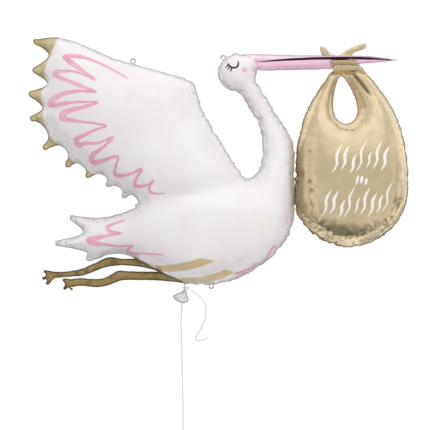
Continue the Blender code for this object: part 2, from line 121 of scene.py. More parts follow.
def smoothLine(points, step, closed=False):
    # points about a step apart on a smooth curve through the given ones
    points = np.asarray(points, float)
    if closed:
        padded = np.concatenate([points[-1:], points, points[:2]])
    else:
        padded = np.concatenate([2 * points[:1] - points[1:2], points, 2 * points[-1:] - points[-2:-1]])
    found = []
    for a, b, c, d in zip(padded, padded[1:], padded[2:], padded[3:]):
        count = max(1, round(float(np.linalg.norm(c - b)) / step))
        t = (np.arange(count) / count)[:, None]
        bend, swing = a - 2.5 * b + 2 * c - d / 2, 1.5 * (b - c) + (d - a) / 2
        found.append(b + (c - a) * t / 2 + bend * t**2 + swing * t**3)
    if not closed:
        found.append(points[-1:])
    return np.concatenate(found)


def finishPiece(name, mesh, material, replaced):
    piece = linked(name, mesh)
    mesh.materials.clear()
    mesh.materials.append(material)
    mesh.shade_smooth()
    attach(piece, "root")
    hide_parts(*replaced)
    return piece


# ---- the ribbon, flat and pulled straight, with its short curled end
ribbon = {
    "width": 0.005,
    "thickness": 0.0004,
    "colour": "ebecee",
    "roughness": 0.38,
    "rib": 0.0006,
    "route": [
        (0.0102, -0.0036, 0.1144), (0.0095, -0.0070, 0.1110), (0.0068, -0.0155, 0.1010),
        (0.0025, -0.0260, 0.0860), (-0.0030, -0.0385, 0.0660), (-0.0085, -0.0530, 0.0440),
        (-0.0130, -0.0700, 0.0245), (-0.0160, -0.0920, 0.0105), (-0.0178, -0.1180, 0.0040),
        (-0.0183, -0.1480, 0.0026), (-0.0178, -0.1900, 0.0026), (-0.0168, -0.2400, 0.0026),
        (-0.0150, -0.3000, 0.0026), (-0.0136, -0.3600, 0.0026), (-0.0120, -0.4200, 0.0026),
        (-0.0107, -0.4850, 0.0026), (-0.0106, -0.5500, 0.0026), (-0.0106, -0.6180, 0.0026),
    ],
    "tailRoute": [
        (0.0152, -0.0029, 0.1169), (0.0190, -0.0055, 0.1158), (0.0270, -0.0125, 0.1130),
        (0.0367, -0.0200, 0.1085), (0.0500, -0.0300, 0.1030), (0.0620, -0.0400, 0.0960),
        (0.0754, -0.0584, 0.0820), (0.0817, -0.0782, 0.0660), (0.0825, -0.1046, 0.0470),
        (0.0790, -0.1310, 0.0310), (0.0705, -0.1560, 0.0180), (0.0590, -0.1790, 0.0080),
        (0.0475, -0.1975, 0.0035), (0.0410, -0.2080, 0.0026), (0.0400, -0.2150, 0.0026),
        (0.0450, -0.2205, 0.0026), (0.0560, -0.2225, 0.0026), (0.0680, -0.2210, 0.0026),
        (0.0790, -0.2170, 0.0026), (0.0890, -0.2120, 0.0026),
    ],
    "neck": (41.1, -0.35),  # where its turns go round the filler neck
    "turns": 0.0022,  # half the thickness of those turns
    "knot": 0.0047,
}


def polypropyleneRibbon():
    # curling ribbon, extruded with fine ribs along it: a soft sheen
    material, tree, shader = newMaterial("polypropylene ribbon, ribbed")
    shader.inputs["Base Color"].default_value = linear(ribbon["colour"])
    shader.inputs["Roughness"].default_value = ribbon["roughness"]
    place = addNode(tree, "ShaderNodeAttribute", {"attribute_name": "across"})
    turns = addNode(tree, "ShaderNodeMath", {"operation": "MULTIPLY"}, {
        0: place.outputs["Fac"], 1: math.tau / ribbon["rib"]
    })
    ribs = addNode(tree, "ShaderNodeMath", {"operation": "SINE"}, {0: turns.outputs[0]})
    bump = addNode(
        tree, "ShaderNodeBump", None, {"Height": ribs.outputs[0], "Strength": 0.25, "Distance": 0.0001}
    )
    tree.links.new(bump.outputs[0], shader.inputs["Normal"])
    return material


ribbonFinish = polypropyleneRibbon()


def ribbonStrip(name, route, twist):
    # a flat strip swept along the route, turning by twist(t) about it
    line = smoothLine(route, 0.002)
    line[:, :2] += placed([ribbon["neck"]])[0]
    along = np.gradient(line, axis=0)
    along /= np.linalg.norm(along, axis=1, keepdims=True)
    run = np.concatenate([[0], np.cumsum(np.linalg.norm(np.diff(line, axis=0), axis=1))])
    side = np.cross(along, (0, 0, 1))
    side /= np.linalg.norm(side, axis=1, keepdims=True)
    up = np.cross(side, along)
    half, thin = ribbon["width"] / 2, ribbon["thickness"] / 2
    bm = bmesh.new()
    acrossLayer = bm.verts.layers.float.new("across")
    rows = []
    for place, s, u, t in zip(line, side, up, run / run[-1]):
        turn = twist(t)
        wide = s * math.cos(turn) + u * math.sin(turn)
        flat = u * math.cos(turn) - s * math.sin(turn)
        row = []
        for a, b in ((-1, -1), (1, -1), (1, 1), (-1, 1)):
            vert = bm.verts.new(place + wide * half * a + flat * thin * b)
            vert[acrossLayer] = half * a
            row.append(vert)
        rows.append(row)
    for before, after in zip(rows, rows[1:]):
        for i in range(4):
            j = (i + 1) % 4
            bm.faces.new((before[i], before[j], after[j], after[i]))
    bm.faces.new(rows[0][::-1])
    bm.faces.new(rows[-1])
    bmesh.ops.recalc_face_normals(bm, faces=bm.faces)
    for vert in bm.verts:
        vert.co.z = max(vert.co.z, 0.0001)
    return meshOf(bm, name), line, float(run[-1])


ribbonMesh, ribbonLine, ribbonLength = ribbonStrip(
    "ribbonRun", ribbon["route"], lambda t: 1.2 * math.exp(-t * 14)
)
tailMesh, tailLine, tailLength = ribbonStrip(
    "ribbonEnd", ribbon["tailRoute"], lambda t: 1.3 - 1.6 * t + 1.2 * max(0, t - 0.7)
)
ribbonRun = finishPiece("ribbonRun", ribbonMesh, ribbonFinish, ["ribbon"])
ribbonEnd = finishPiece("ribbonEnd", tailMesh, ribbonFinish, ["ribbon_tail"])


def knotLump(bm, centre, radius, seed):
    # a tight overhand knot in flat ribbon: a ball with its turns pressed into it
    made = bmesh.ops.create_icosphere(bm, subdivisions=4, radius=radius)["verts"]
    for vert in made:
        turn = math.atan2(vert.co.y, vert.co.x)
        fold = math.sin(3 * turn + vert.co.z / radius * 3.5 + seed)
        vert.co *= 1 - 0.16 * max(0, fold) ** 2
        vert.co += Vector(centre)
    return made


def ringOfRibbon(bm, centre, radius, tube, stretch=1.0, upright=False):
    # one closed ring of ribbon turns lying on each other
    made = bmesh.ops.create_circle(bm, segments=10, radius=tube)["verts"]
    for vert in made:
        x, y, _ = vert.co
        vert.co = (radius + x * (1 + 0.25 * math.cos(5 * math.atan2(y, x))), 0, y)
    edges = list({edge for vert in made for edge in vert.link_edges})
    bmesh.ops.spin(
        bm, geom=made + edges, cent=(0, 0, 0), axis=(0, 0, 1), angle=math.tau, steps=56, use_merge=True,
        dvec=(0, 0, 0),
    )
    fresh = [vert for vert in bm.verts if not vert.tag]
    for vert in fresh:
        vert.co.y *= stretch
        if upright:
            vert.co = (vert.co.x, -vert.co.z, vert.co.y)
        vert.co += Vector(centre)
        vert.tag = True


def ribbonRings():
    # the turns round the filler neck, and the hand loop at the far end, each with its knot
    low, high = (np.array(corner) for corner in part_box("ribbon_knot"))
    tube, knot = ribbon["turns"], ribbon["knot"]
    radius = (high[2] - low[2]) / 2 - tube
    middle = (low[0] + radius + tube, (low[1] + high[1]) / 2, (low[2] + high[2]) / 2)
    bm = bmesh.new()
    ringOfRibbon(bm, middle, radius, tube, upright=True)
    knotLump(bm, (middle[0] + 0.011, middle[1], middle[2]), knot, 0.4)
    bmesh.ops.recalc_face_normals(bm, faces=bm.faces)
    turns = finishPiece("neckTurns", meshOf(bm, "neckTurns"), ribbonFinish, ["ribbon_knot"])
    low, high = (np.array(corner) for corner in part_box("hand_loop"))
    tube = ribbon["width"] / 2
    radius = (high[0] - low[0]) / 2 - tube
    middle = ((low[0] + high[0]) / 2, low[1] + (radius + tube) * 1.35, tube)
    bm = bmesh.new()
    ringOfRibbon(bm, middle, radius, tube * 0.94, stretch=1.35)
    knotLump(bm, (middle[0], high[1] - knot - 0.0001, knot + 0.0001), knot, 1.9)
    bmesh.ops.recalc_face_normals(bm, faces=bm.faces)
    loop = finishPiece("handLoop", meshOf(bm, "handLoop"), ribbonFinish, ["hand_loop"])
    return turns, loop


neckTurns, handLoop = ribbonRings()
print("ribbon made: run %.2f m, end %.2f m" % (ribbonLength, tailLength))


# ---- flat nets for the welded film
film = {
    "weld": 0.004,  # width of the flat welded edge
    "rimStep": 0.005,
    "simulated": [(0.006, 0.035), (0.008, 0.08), (0.012, 9.0)],  # net spacing, out to this far from a weld
    "shown": [(0.0052, 0.030), (0.0068, 0.07), (0.0095, 9.0)],
    "printStep": 0.0026,  # net spacing where a printed edge runs
    "frames": 24,
    "slackReach": 0.055,
    "cloth": {
        "quality": 4, "mass": 0.1, "tension_stiffness": 30, "compression_stiffness": 30,
        "shear_stiffness": 10, "bending_stiffness": 0.05, "vertex_group_mass": "welded", "pin_stiffness": 50,
        "use_pressure": True, "uniform_pressure_force": 3, "vertex_group_shrink": "slack",
        "shrink_min": 0.0, "shrink_max": -0.08,
    },
    "sheetGap": 0.0003,  # least distance between the two sheets, on the weld
}


def turnedLeft(loop, outer):
    # the material lies to the left of every edge loop
    x, y = loop.T
    area = np.sum(x * np.roll(y, -1) - y * np.roll(x, -1))
    return loop if (area > 0) == outer else loop[::-1]


def weldLoops(node):
    # the edge of the blank and of its holes, read off the node's welded edge
    bm = bmesh.new()
    bm.from_mesh(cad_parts[node].data)
    bmesh.ops.remove_doubles(bm, verts=bm.verts, dist=1e-5)
    bm.normal_update()
    seam = drawing["seamHeight"]
    upright = [f for f in bm.faces if abs(f.normal.z) < 0.05]
    walls = {f for f in upright if all(abs(v.co.z - seam) < 0.0017 for v in f.verts)}
    following = {}
    for edge in bm.edges:
        if all(v.co.z > seam + 0.001 for v in edge.verts) and sum(f in walls for f in edge.link_faces) == 1:
            a, b = edge.verts
            following.setdefault(a, []).append(b)
            following.setdefault(b, []).append(a)
    loops, used = [], set()
    for start in following:
        if start in used:
            continue
        loop = [start]
        used.add(start)
        while True:
            onward = [v for v in following[loop[-1]] if v not in used]
            if not onward:
                break
            loop.append(onward[0])
            used.add(onward[0])
        loops.append(np.array([v.co[:2] for v in loop]))
    bm.free()
    loops.sort(key=len, reverse=True)
    return [turnedLeft(loop, i == 0) for i, loop in enumerate(loops)]


def smoothRim(loop, step):
    # a closed curve through points that are unevenly spaced
    before, after = np.roll(loop, 1, axis=0), np.roll(loop, -1, axis=0)
    back = np.linalg.norm(loop - before, axis=1, keepdims=True)
    ahead = np.linalg.norm(after - loop, axis=1, keepdims=True)
    slope = ((loop - before) / back * ahead + (after - loop) / ahead * back) / (back + ahead)
    found = []
    for a, b, sa, sb, run in zip(loop, after, slope, np.roll(slope, -1, axis=0), ahead[:, 0]):
        count = max(1, round(run / step))
        t = (np.arange(count) / count)[:, None]
        found.append(
            (2 * t**3 - 3 * t**2 + 1) * a + (t**3 - 2 * t**2 + t) * run * sa
            + (3 * t**2 - 2 * t**3) * b + (t**3 - t**2) * run * sb
        )
    return np.concatenate(found)


def nearTree(points):
    tree = KDTree(len(points))
    for i, p in enumerate(points):
        tree.insert((p[0], p[1], 0), i)
    tree.balance()
    return tree


def distances(tree, points):
    return np.array([tree.find((p[0], p[1], 0))[2] for p in points])


def inward(rim, width):
    along = np.roll(rim, -1, axis=0) - np.roll(rim, 1, axis=0)
    along /= np.linalg.norm(along, axis=1, keepdims=True) + 1e-12
    return rim + np.stack([-along[:, 1], along[:, 0]], axis=1) * width


def hexGrid(low, high, step, rng):
    rows = []
    for i, y in enumerate(np.arange(low[1], high[1], step * 0.866)):
        xs = np.arange(low[0] + (i % 2) * step / 2, high[0], step)
        rows.append(np.stack([xs, np.full(len(xs), y)], axis=1))
    grid = np.concatenate(rows)
    return grid + rng.uniform(-0.12, 0.12, grid.shape) * step


def treeOf(verts, faces):
    return BVHTree.FromPolygons([tuple(v) for v in verts], [tuple(int(i) for i in f) for f in faces])


def cadTree(node):
    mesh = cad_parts[node].data
    return BVHTree.FromPolygons([v.co[:] for v in mesh.vertices], [p.vertices[:] for p in mesh.polygons])


def heights(cad, points):
    # upper and lower surface above each point, nan outside
    found = np.full((len(points), 2), np.nan)
    for i, (x, y) in enumerate(points):
        above = cad.ray_cast((x, y, 1), (0, 0, -1))[0]
        if above is not None:
            found[i] = above.z, cad.ray_cast((x, y, -1), (0, 0, 1))[0].z
    return found.T


def insideOf(points, loop):
    x, y = points.T
    found = np.zeros(len(points), bool)
    for (ax, ay), (bx, by) in zip(loop, np.roll(loop, -1, axis=0)):
        if ay != by:
            found ^= ((ay > y) != (by > y)) & (x < ax + (y - ay) * (bx - ax) / (by - ay))
    return found


def triangulated(points, edges, rims):
    # triangles inside the first rim and outside the others
    made = geometry.delaunay_2d_cdt([Vector(p) for p in points], edges, [list(range(len(rims[0])))], 1, 1e-6)
    corners, faces = np.array([tuple(p) for p in made[0]]), np.array(made[2])
    middles = corners[faces].mean(axis=1)
    for hole in rims[1:]:
        hit = insideOf(middles, hole)
        faces, middles = faces[~hit], middles[~hit]
    used = np.unique(faces)
    renamed = np.full(len(corners), -1)
    renamed[used] = np.arange(len(used))
    return corners[used], renamed[faces]


def withoutShortcuts(points, edges, rims):
    # the same, with a point in the middle of each inner edge from rim to rim, which both sheets would share
    corners, faces = triangulated(points, edges, rims)
    onRim = distances(nearTree(np.concatenate(rims)), corners) < 1e-5
    pairs = np.sort(np.concatenate([faces[:, [0, 1]], faces[:, [1, 2]], faces[:, [2, 0]]]), axis=1)
    pairs, counts = np.unique(pairs, axis=0, return_counts=True)
    pairs = pairs[(counts == 2) & onRim[pairs].all(axis=1)]
    if not len(pairs):
        return corners, faces
    return triangulated(np.concatenate([points, corners[pairs].mean(axis=1)]), edges, rims)


def flatNet(cad, rims, welds, levels, detail=None):
    # a graded triangle net over the blank; detail tells how far a point is from a printed edge
    tree = nearTree(np.concatenate([*rims, *welds]))
    edgeTree = nearTree(np.concatenate(rims))
    inner = np.concatenate([inward(rim, film["weld"]) for rim in rims])
    inner = inner[distances(tree, inner) > 0.85 * film["weld"]]
    rng = np.random.default_rng(7)
    low, high = rims[0].min(axis=0), rims[0].max(axis=0)
    kept, nearest = [], film["weld"] * 1.9
    for step, reach in levels:
        grid = hexGrid(low, high, step, rng)
        away = distances(tree, grid)
        grid = grid[(away >= nearest) & (away < reach)]
        if detail:
            grid = grid[np.abs(detail(grid)) > film["printStep"] * 1.6]
        kept.append(grid)
        nearest = reach
    if detail:
        grid = hexGrid(low, high, film["printStep"], rng)
        grid = grid[np.abs(detail(grid)) < film["printStep"] * 1.1]
        grid = grid[distances(tree, grid) >= 0.0022]
        kept.append(grid[distances(edgeTree, grid) >= film["weld"] * 1.5])
    grid = np.concatenate(kept)
    grid = grid[~np.isnan(heights(cad, grid)[0])]
    points = np.concatenate([*rims, *welds, inner, grid])
    edges, start = [], 0
    for rim in rims:
        edges += [(start + i, start + (i + 1) % len(rim)) for i in range(len(rim))]
        start += len(rim)
    for line in welds:
        edges += [(start + i, start + i + 1) for i in range(len(line) - 1)]
        start += len(line)
    corners, faces = (withoutShortcuts if detail else triangulated)(points, edges, rims)
    return corners, faces, tree


def relaxed(values, faces, held, turns):
    # evens out a height over the net
    pairs = np.concatenate([faces[:, [0, 1]], faces[:, [1, 2]], faces[:, [2, 0]]])
    pairs = np.concatenate([pairs, pairs[:, ::-1]])
    count = np.bincount(pairs[:, 0], minlength=len(values))
    for _ in range(turns):
        mean = np.bincount(pairs[:, 0], weights=values[pairs[:, 1]], minlength=len(values)) / count
        values = np.where(held, values, (values + mean) / 2)
    return values


def twoSheets(flat, faces, onRim):
    # indices of the lower sheet, which shares only the rim with the upper one
    lower = np.arange(len(flat))
    free = np.where(~onRim)[0]
    lower[free] = len(flat) + np.arange(len(free))
    return free, np.concatenate([faces, lower[faces][:, ::-1]])


def inflated(name, cad, rims, welds, scallop):
    # the film, blown up by a cloth simulation from the solid's shape; slack along the welds makes puckers
    flat, faces, tree = flatNet(cad, rims, welds, film["simulated"])
    away = distances(tree, flat)
    rimTree = nearTree(np.concatenate(rims))
    onRim = distances(rimTree, flat) < 1e-5
    held = away < film["weld"] * 1.1
    seam = drawing["seamHeight"]
    top, low = heights(cad, flat)
    top = relaxed(np.where(np.isnan(top) | held, seam, top), faces, held, 12)
    low = relaxed(np.where(np.isnan(low) | held, seam, low), faces, held, 12)
    free, faces = twoSheets(flat, faces, onRim)
    wave = np.array([scallop(x, y) for x, y in flat]) * (away < film["weld"] * 1.1)
    thin = film["sheetGap"] * ~onRim * held
    verts = np.concatenate([
        np.column_stack([flat, top + wave + thin]), np.column_stack([flat[free], (low + wave - thin)[free]])
    ])
    places = np.concatenate([flat, flat[free]])
    held, away = np.concatenate([held, held[free]]), np.concatenate([away, away[free]])
    mesh = bpy.data.meshes.new(name)
    mesh.from_pydata(verts.tolist(), [], faces.tolist())
    sheet = linked(name, mesh)
    sheet.vertex_groups.new(name="welded").add(np.where(held)[0].tolist(), 1.0, "REPLACE")
    slack = sheet.vertex_groups.new(name="slack")
    level = np.round(np.exp(-away / film["slackReach"]) * 20).astype(int)
    for k in range(1, 21):
        slack.add(np.where(level == k)[0].tolist(), k / 20, "REPLACE")
    cloth = sheet.modifiers.new("film", "CLOTH")
    for key, value in film["cloth"].items():
        setattr(cloth.settings, key, value)
    cloth.settings.effector_weights.gravity = 0
    cloth.collision_settings.use_collision = False
    cloth.point_cache.frame_start, cloth.point_cache.frame_end = 1, film["frames"]
    for number in range(1, film["frames"] + 1):
        bpy.context.scene.frame_set(number)
    settled = sheet.evaluated_get(bpy.context.evaluated_depsgraph_get()).to_mesh()
    verts = np.array([v.co[:] for v in settled.vertices])
    bpy.data.objects.remove(sheet, do_unlink=True)
    bpy.context.scene.frame_set(1)
    return verts, places, faces


def creases(flat, rims, strength):
    # ridges that run in from the welds, as metres of height for each sheet; strength gives height and reach
    points = np.concatenate(rims)
    steps = np.concatenate([np.linalg.norm(rim - np.roll(rim, 1, axis=0), axis=1) for rim in rims])
    along = np.cumsum(steps)
    tree = nearTree(points)
    made = np.zeros((2, len(flat)))
    for i, (x, y) in enumerate(flat):
        _, index, away = tree.find((x, y, 0))
        height, reach = strength(x, y)
        if away < film["weld"] or away > 5 * reach:
            continue
        size = height * min(1, (away - film["weld"]) / (0.001 + 0.25 * reach)) * math.exp(-away / reach)
        for sheet in (0, 1):
            first = noise.noise(Vector((along[index] * 42, away * 9, sheet * 5)))
            second = noise.noise(Vector((along[index] * 80, away * 14, 9 + sheet * 5)))
            made[sheet, i] = size * (0.5 - 2.2 * abs(first) + 0.5 * second)
    return made


def finerFilm(name, cad, rims, welds, settled, detail, strength):
    # the shown film: a finer net laid over the settled one
    verts, places, faces = settled
    count = len(verts)
    coarse = bpy.data.meshes.new(name + "Coarse")
    coarse.from_pydata(verts.tolist(), [], faces.tolist())
    layer = coarse.attributes.new("place", "FLOAT_VECTOR", "POINT")
    layer.data.foreach_set("vector", np.column_stack([places, np.zeros(count)]).ravel())
    carrier = linked(name + "Coarse", coarse)
    half = len(faces) // 2
    smooth = carrier.modifiers.new("smooth", "SUBSURF")
    smooth.levels = smooth.render_levels = 1
    evaluated = carrier.evaluated_get(bpy.context.evaluated_depsgraph_get()).to_mesh()
    evaluated.calc_loop_triangles()
    fineVerts = np.array([v.co[:] for v in evaluated.vertices])
    finePlaces = np.array([p.vector[:2] for p in evaluated.attributes["place"].data])
    triangles = np.array([t.vertices[:] for t in evaluated.loop_triangles])
    owner = np.array([t.polygon_index for t in evaluated.loop_triangles])
    bpy.data.objects.remove(carrier, do_unlink=True)
    flat, net, tree = flatNet(cad, rims, welds, film["shown"], detail)
    rimTree = nearTree(np.concatenate(rims))
    onRim = distances(rimTree, flat) < 1e-5
    free, shownFaces = twoSheets(flat, net, onRim)
    sheets = []
    rise = creases(flat, rims, strength)
    away = distances(tree, flat)
    firm = np.clip(1.6 - away / (2 * film["weld"]), 0, 1)[:, None]  # 1 on the weld, held sideways
    for upper in (True, False):
        chosen = triangles[(owner < half * 3) == upper]
        lookup = treeOf(np.column_stack([finePlaces, np.zeros(len(finePlaces))]), chosen)
        found = np.zeros((len(flat), 3))
        for i, (x, y) in enumerate(flat):
            spot, _, index, _ = lookup.find_nearest((x, y, 0))
            a, b, c = chosen[index]
            pa, pb, pc = finePlaces[a], finePlaces[b], finePlaces[c]
            area = (pb[0] - pa[0]) * (pc[1] - pa[1]) - (pb[1] - pa[1]) * (pc[0] - pa[0])
            if abs(area) < 1e-14:
                found[i] = fineVerts[a]
                continue
            wb = ((x - pa[0]) * (pc[1] - pa[1]) - (y - pa[1]) * (pc[0] - pa[0])) / area
            wc = ((pb[0] - pa[0]) * (y - pa[1]) - (pb[1] - pa[1]) * (x - pa[0])) / area
            wb, wc = min(max(wb, 0), 1), min(max(wc, 0), 1)
            found[i] = fineVerts[a] * (1 - wb - wc) + fineVerts[b] * wb + fineVerts[c] * wc
        found[:, :2] += (flat - found[:, :2]) * firm
        shallow = np.clip(np.abs(found[:, 2] - drawing["seamHeight"]) / 0.026, 0.15, 1)
        found[:, 2] += rise[0 if upper else 1] * shallow * (1 if upper else -1)
        sheets.append(found)
    thin = np.clip(film["sheetGap"] - sheets[0][:, 2] + sheets[1][:, 2], 0, None) / 2 * ~onRim
    sheets[0][:, 2] += thin
    sheets[1][:, 2] -= thin
    whole = np.concatenate([sheets[0], sheets[1][free]])
    whole[:, 2] = np.maximum(whole[:, 2], 0.0002)
    mesh = bpy.data.meshes.new(name)
    mesh.from_pydata(whole.tolist(), [], shownFaces.tolist())
    mesh.validate()
    return mesh, np.concatenate([flat, flat[free]]), np.arange(len(whole)) < len(flat)


# ---- prints, as signed distances to their edges: more than 0 inside
def strokeField(points, stroke):
    # stroke points carry half their width as a third number
    stroke = np.array(stroke, float)
    line = smoothLine(stroke, 0.6)
    line = np.column_stack([placed(line[:, :2]), line[:, 2] * drawing["unit"]])
    best = np.full(len(points), -0.05)
    low, high = line[:, :2].min(axis=0) - 0.02, line[:, :2].max(axis=0) + 0.02
    near = np.where(((points > low) & (points < high)).all(axis=1))[0]
    if not len(near):
        return best
    close = points[near]
    value = best[near]
    for a, b in zip(line, line[1:]):
        run = b[:2] - a[:2]
        t = np.clip(((close - a[:2]) @ run) / (run @ run + 1e-12), 0, 1)
        away = np.linalg.norm(close - a[:2] - t[:, None] * run, axis=1)
        value = np.maximum(value, a[2] + (b[2] - a[2]) * t - away)
    best[near] = value
    return best


def areaField(points, loop):
    loop = placed(loop)
    closed = np.concatenate([loop, loop[:1]])
    away = np.full(len(points), 0.05)
    for a, b in zip(closed, closed[1:]):
        run = b - a
        t = np.clip(((points - a) @ run) / (run @ run + 1e-12), 0, 1)
        away = np.minimum(away, np.linalg.norm(points - a - t[:, None] * run, axis=1))
    return np.where(insideOf(points, loop), away, -away)


stork = {
    "head": (54.9, 56.4, 5.16),
    "mouth": [
        (60.1, 59.2), (66.3, 59.6), (71.4, 59.8), (79.3, 59.9), (85.1, 60.0), (90.4, 59.9), (95.9, 59.6),
    ],
    "slitEnds": [(79.6, 59.95), (85.5, 59.95)],
    "wingScribble": [
        (26.7, 53.8, 0.10), (23.3, 55.9, 0.17), (17.7, 58.6, 0.26), (14.1, 59.6, 0.46), (10.6, 59.6, 0.6),
        (11.7, 58.3, 0.66), (15.6, 55.4, 0.4), (18.5, 53.3, 0.2), (15.6, 54.6, 0.26), (11.9, 55.7, 0.3),
        (7.7, 55.4, 0.46), (8.8, 54.3, 0.4), (14.1, 52, 0.4), (18.8, 50.1, 0.2), (14.8, 50.4, 0.33),
        (10.6, 49.9, 0.46), (8, 48.8, 0.62), (6.4, 47.5, 0.66), (8.3, 47, 0.55), (12.7, 47.5, 0.33),
        (19.2, 47.4, 0.2), (15.6, 46.3, 0.4), (11.2, 45.2, 0.6), (9.8, 43.8, 0.72), (12.7, 42.9, 0.4),
        (17.7, 42.2, 0.26), (21.4, 41.4, 0.17), (18.5, 40.4, 0.26), (15.6, 39.1, 0.46), (13.4, 38, 0.6),
        (14.1, 36.6, 0.6), (15.6, 37.1, 0.4), (19.2, 37.1, 0.3), (23, 38.4, 0.26), (20.3, 35.9, 0.33),
        (17.7, 34.1, 0.6), (17.4, 32.5, 0.66), (19.8, 32.5, 0.4), (24.2, 33.7, 0.26), (23.7, 31.4, 0.26),
        (23.2, 29.3, 0.33), (24.8, 28.8, 0.33), (27.7, 29.3, 0.3), (30.4, 30.4, 0.26), (28.9, 28, 0.33),
        (28.5, 26.2, 0.4), (31.8, 26.3, 0.26), (33.3, 27.5, 0.2), (32.2, 25.4, 0.26), (33.3, 24.3, 0.24),
        (36.2, 24.3, 0.13),
    ],
    "tailScribble": [
        (25.6, 17.4, 0.12), (21.9, 16.1, 0.3), (21.2, 15.4, 0.4), (21.9, 14.6, 0.3), (24.8, 14.1, 0.2),
        (21.9, 13.6, 0.3), (17.5, 12.6, 0.65), (16.2, 12.2, 0.7), (17.5, 11.4, 0.6), (20.6, 11.2, 0.3),
        (23.9, 10.7, 0.2), (27.7, 10.8, 0.16), (26.5, 9.9, 0.26), (27.2, 9.1, 0.2), (36, 8.6, 0.12),
    ],
    "breastScribble": [
        (69, 18.1, 0.1), (69.3, 15.1, 0.2), (67.5, 12.2, 0.22), (65.9, 9.6, 0.26), (64.4, 10.7, 0.16),
        (61.7, 6.4, 0.26), (59.6, 6.1, 0.16), (58.3, 4.9, 0.26), (54.3, 3.6, 0.16), (57.5, 3.6, 0.2),
        (53.5, 1.9, 0.1),
    ],
    "thighs": [
        [(33.5, 5.7), (38.9, 6.1), (43, 7.1), (45.3, 7.9), (49.2, 7.1), (45.6, 5.6), (41.6, 4.5), (37.6, 4.1),
         (33.8, 4.3)],
        [(39.6, 2.5), (45.6, 2.7), (49, 3.7), (51.8, 4.7), (54.3, 3.9), (51, 2.3), (47.7, 1.3), (42.2, 0.9),
         (39.6, 1.3)],
    ],
    "goldEdge": [
        (-4, 68.5), (8.3, 68.5), (8, 65.7), (7.6, 63.3), (6.3, 60.7), (5.5, 58.6), (4.6, 55.4),
        (4.1, 51.7), (3.8, 48.6), (4.2, 45.9), (4.6, 43.3), (5, 41.2), (5.6, 39.6), (6.7, 38.6),
        (7.7, 37.6), (9.1, 36.7), (10, 35.1), (10.9, 33.9), (12.2, 32.6), (13.5, 32), (15.1, 30.9),
        (16.7, 29.9), (17.7, 29.1), (16.7, 27), (14, 24), (-4, 24),
    ],
    "legEdge": [
        (3, 10.5), (16, 6.5), (17, 7.1), (20, 8.1), (24, 8.3), (28.3, 7.7), (30.4, 6.8), (32.2, 5.8),
        (34.1, 4.5), (37.2, 3.1), (39.3, 2.3), (40.6, 1.1), (41.0, -0.2), (30, -2.0), (12, -2.5),
        (2, -1.5),
    ],
    "eye": [
        [(52.39, 58.37, 0.15), (52.79, 57.74, 0.20), (53.45, 57.18, 0.23), (54.24, 57.11, 0.23),
         (54.87, 57.42, 0.23), (55.16, 58.05, 0.21), (55.03, 58.87, 0.14)],
        [(52.47, 58.05, 0.19), (52.15, 57.6, 0.18), (51.8, 57.25, 0.10)],
        [(52.87, 57.6, 0.19), (52.6, 57.0, 0.18), (52.35, 56.55, 0.10)],
        [(53.45, 57.2, 0.19), (53.25, 56.6, 0.18), (53.05, 56.15, 0.10)],
    ],
    "cheek": (56.71, 56.55),
    "beakStart": (57.0, 56.3),
    "lips": 59.9,  # where the beak's upper half starts
    "creases": (0.0045, 0.020),  # height and reach
    "legRoot": [
        (28.9, 7.0, 0.08), (31.0, 5.9, 0.2), (32.6, 4.8, 0.16), (35.4, 3.5, 0.26), (38.1, 2.4, 0.22),
        (40.6, 1.4, 0.1),
    ],
    "mouthLine": [
        (60.05, 59.18, 0.06), (62.37, 59.26, 0.16), (66.34, 59.58, 0.27), (71.42, 59.85, 0.34),
        (76.16, 60.02, 0.36), (85.11, 60.1, 0.36), (90.37, 59.98, 0.30), (95.63, 59.6, 0.08),
    ],
}


def strokes(points, lists):
    return np.max([strokeField(points, stroke) for stroke in lists], axis=0)


def beakField(points):
    x, y, radius = stork["head"]
    away = np.linalg.norm(points - placed([(x, y)])[0], axis=1) - radius * drawing["unit"]
    return np.minimum(away, (points - placed([stork["beakStart"]])[0]).min(axis=1))


def storkDetail(points):
    # the nearest printed edge that has to be sharp
    scribbles = [stork["wingScribble"], stork["tailScribble"], stork["breastScribble"]]
    ink = strokes(points, scribbles + stork["eye"] + [stork["mouthLine"], stork["legRoot"]])
    return np.where(ink > 0, ink * 0.5, ink)


def storkScallop(x, y):
    # welded edges of a blown-up foil shape wave up and down a little
    return 0.0022 * noise.noise(Vector((x, y, 0)) * 38) + 0.0012 * noise.noise(Vector((x, y, 3)) * 90)


storkCad = cadTree("stork")


def wrinkles(rim, finer):
    coarse = [abs(noise.noise(Vector((x, y, 0)) * 30)) for x, y in rim]
    fine = [abs(noise.noise(Vector((x, y, 2)) * 75)) for x, y in rim]
    return np.array(coarse) + finer * np.array(fine)


def rippled(rim, size):
    # the blank's edge, drawn in a little where the weld puckers, but not at the feathers' tips
    depth = wrinkles(rim, 0.4)
    east = (rim[:, 0] - placed([(28, 0)])[0][0]) / (15 * drawing["unit"])
    slim = (beakField(rim) > -0.01) | (areaField(rim, stork["legEdge"]) > -0.01)
    depth *= np.where(slim, 0.25, np.clip(east, 0.35, 1))
    ahead, back = np.roll(rim, -5, axis=0) - rim, rim - np.roll(rim, 5, axis=0)
    straight = (ahead * back).sum(axis=1) / np.linalg.norm(ahead, axis=1) / np.linalg.norm(back, axis=1)
    return inward(rim, (size * depth * np.clip(straight * 4 - 3, 0, 1))[:, None])


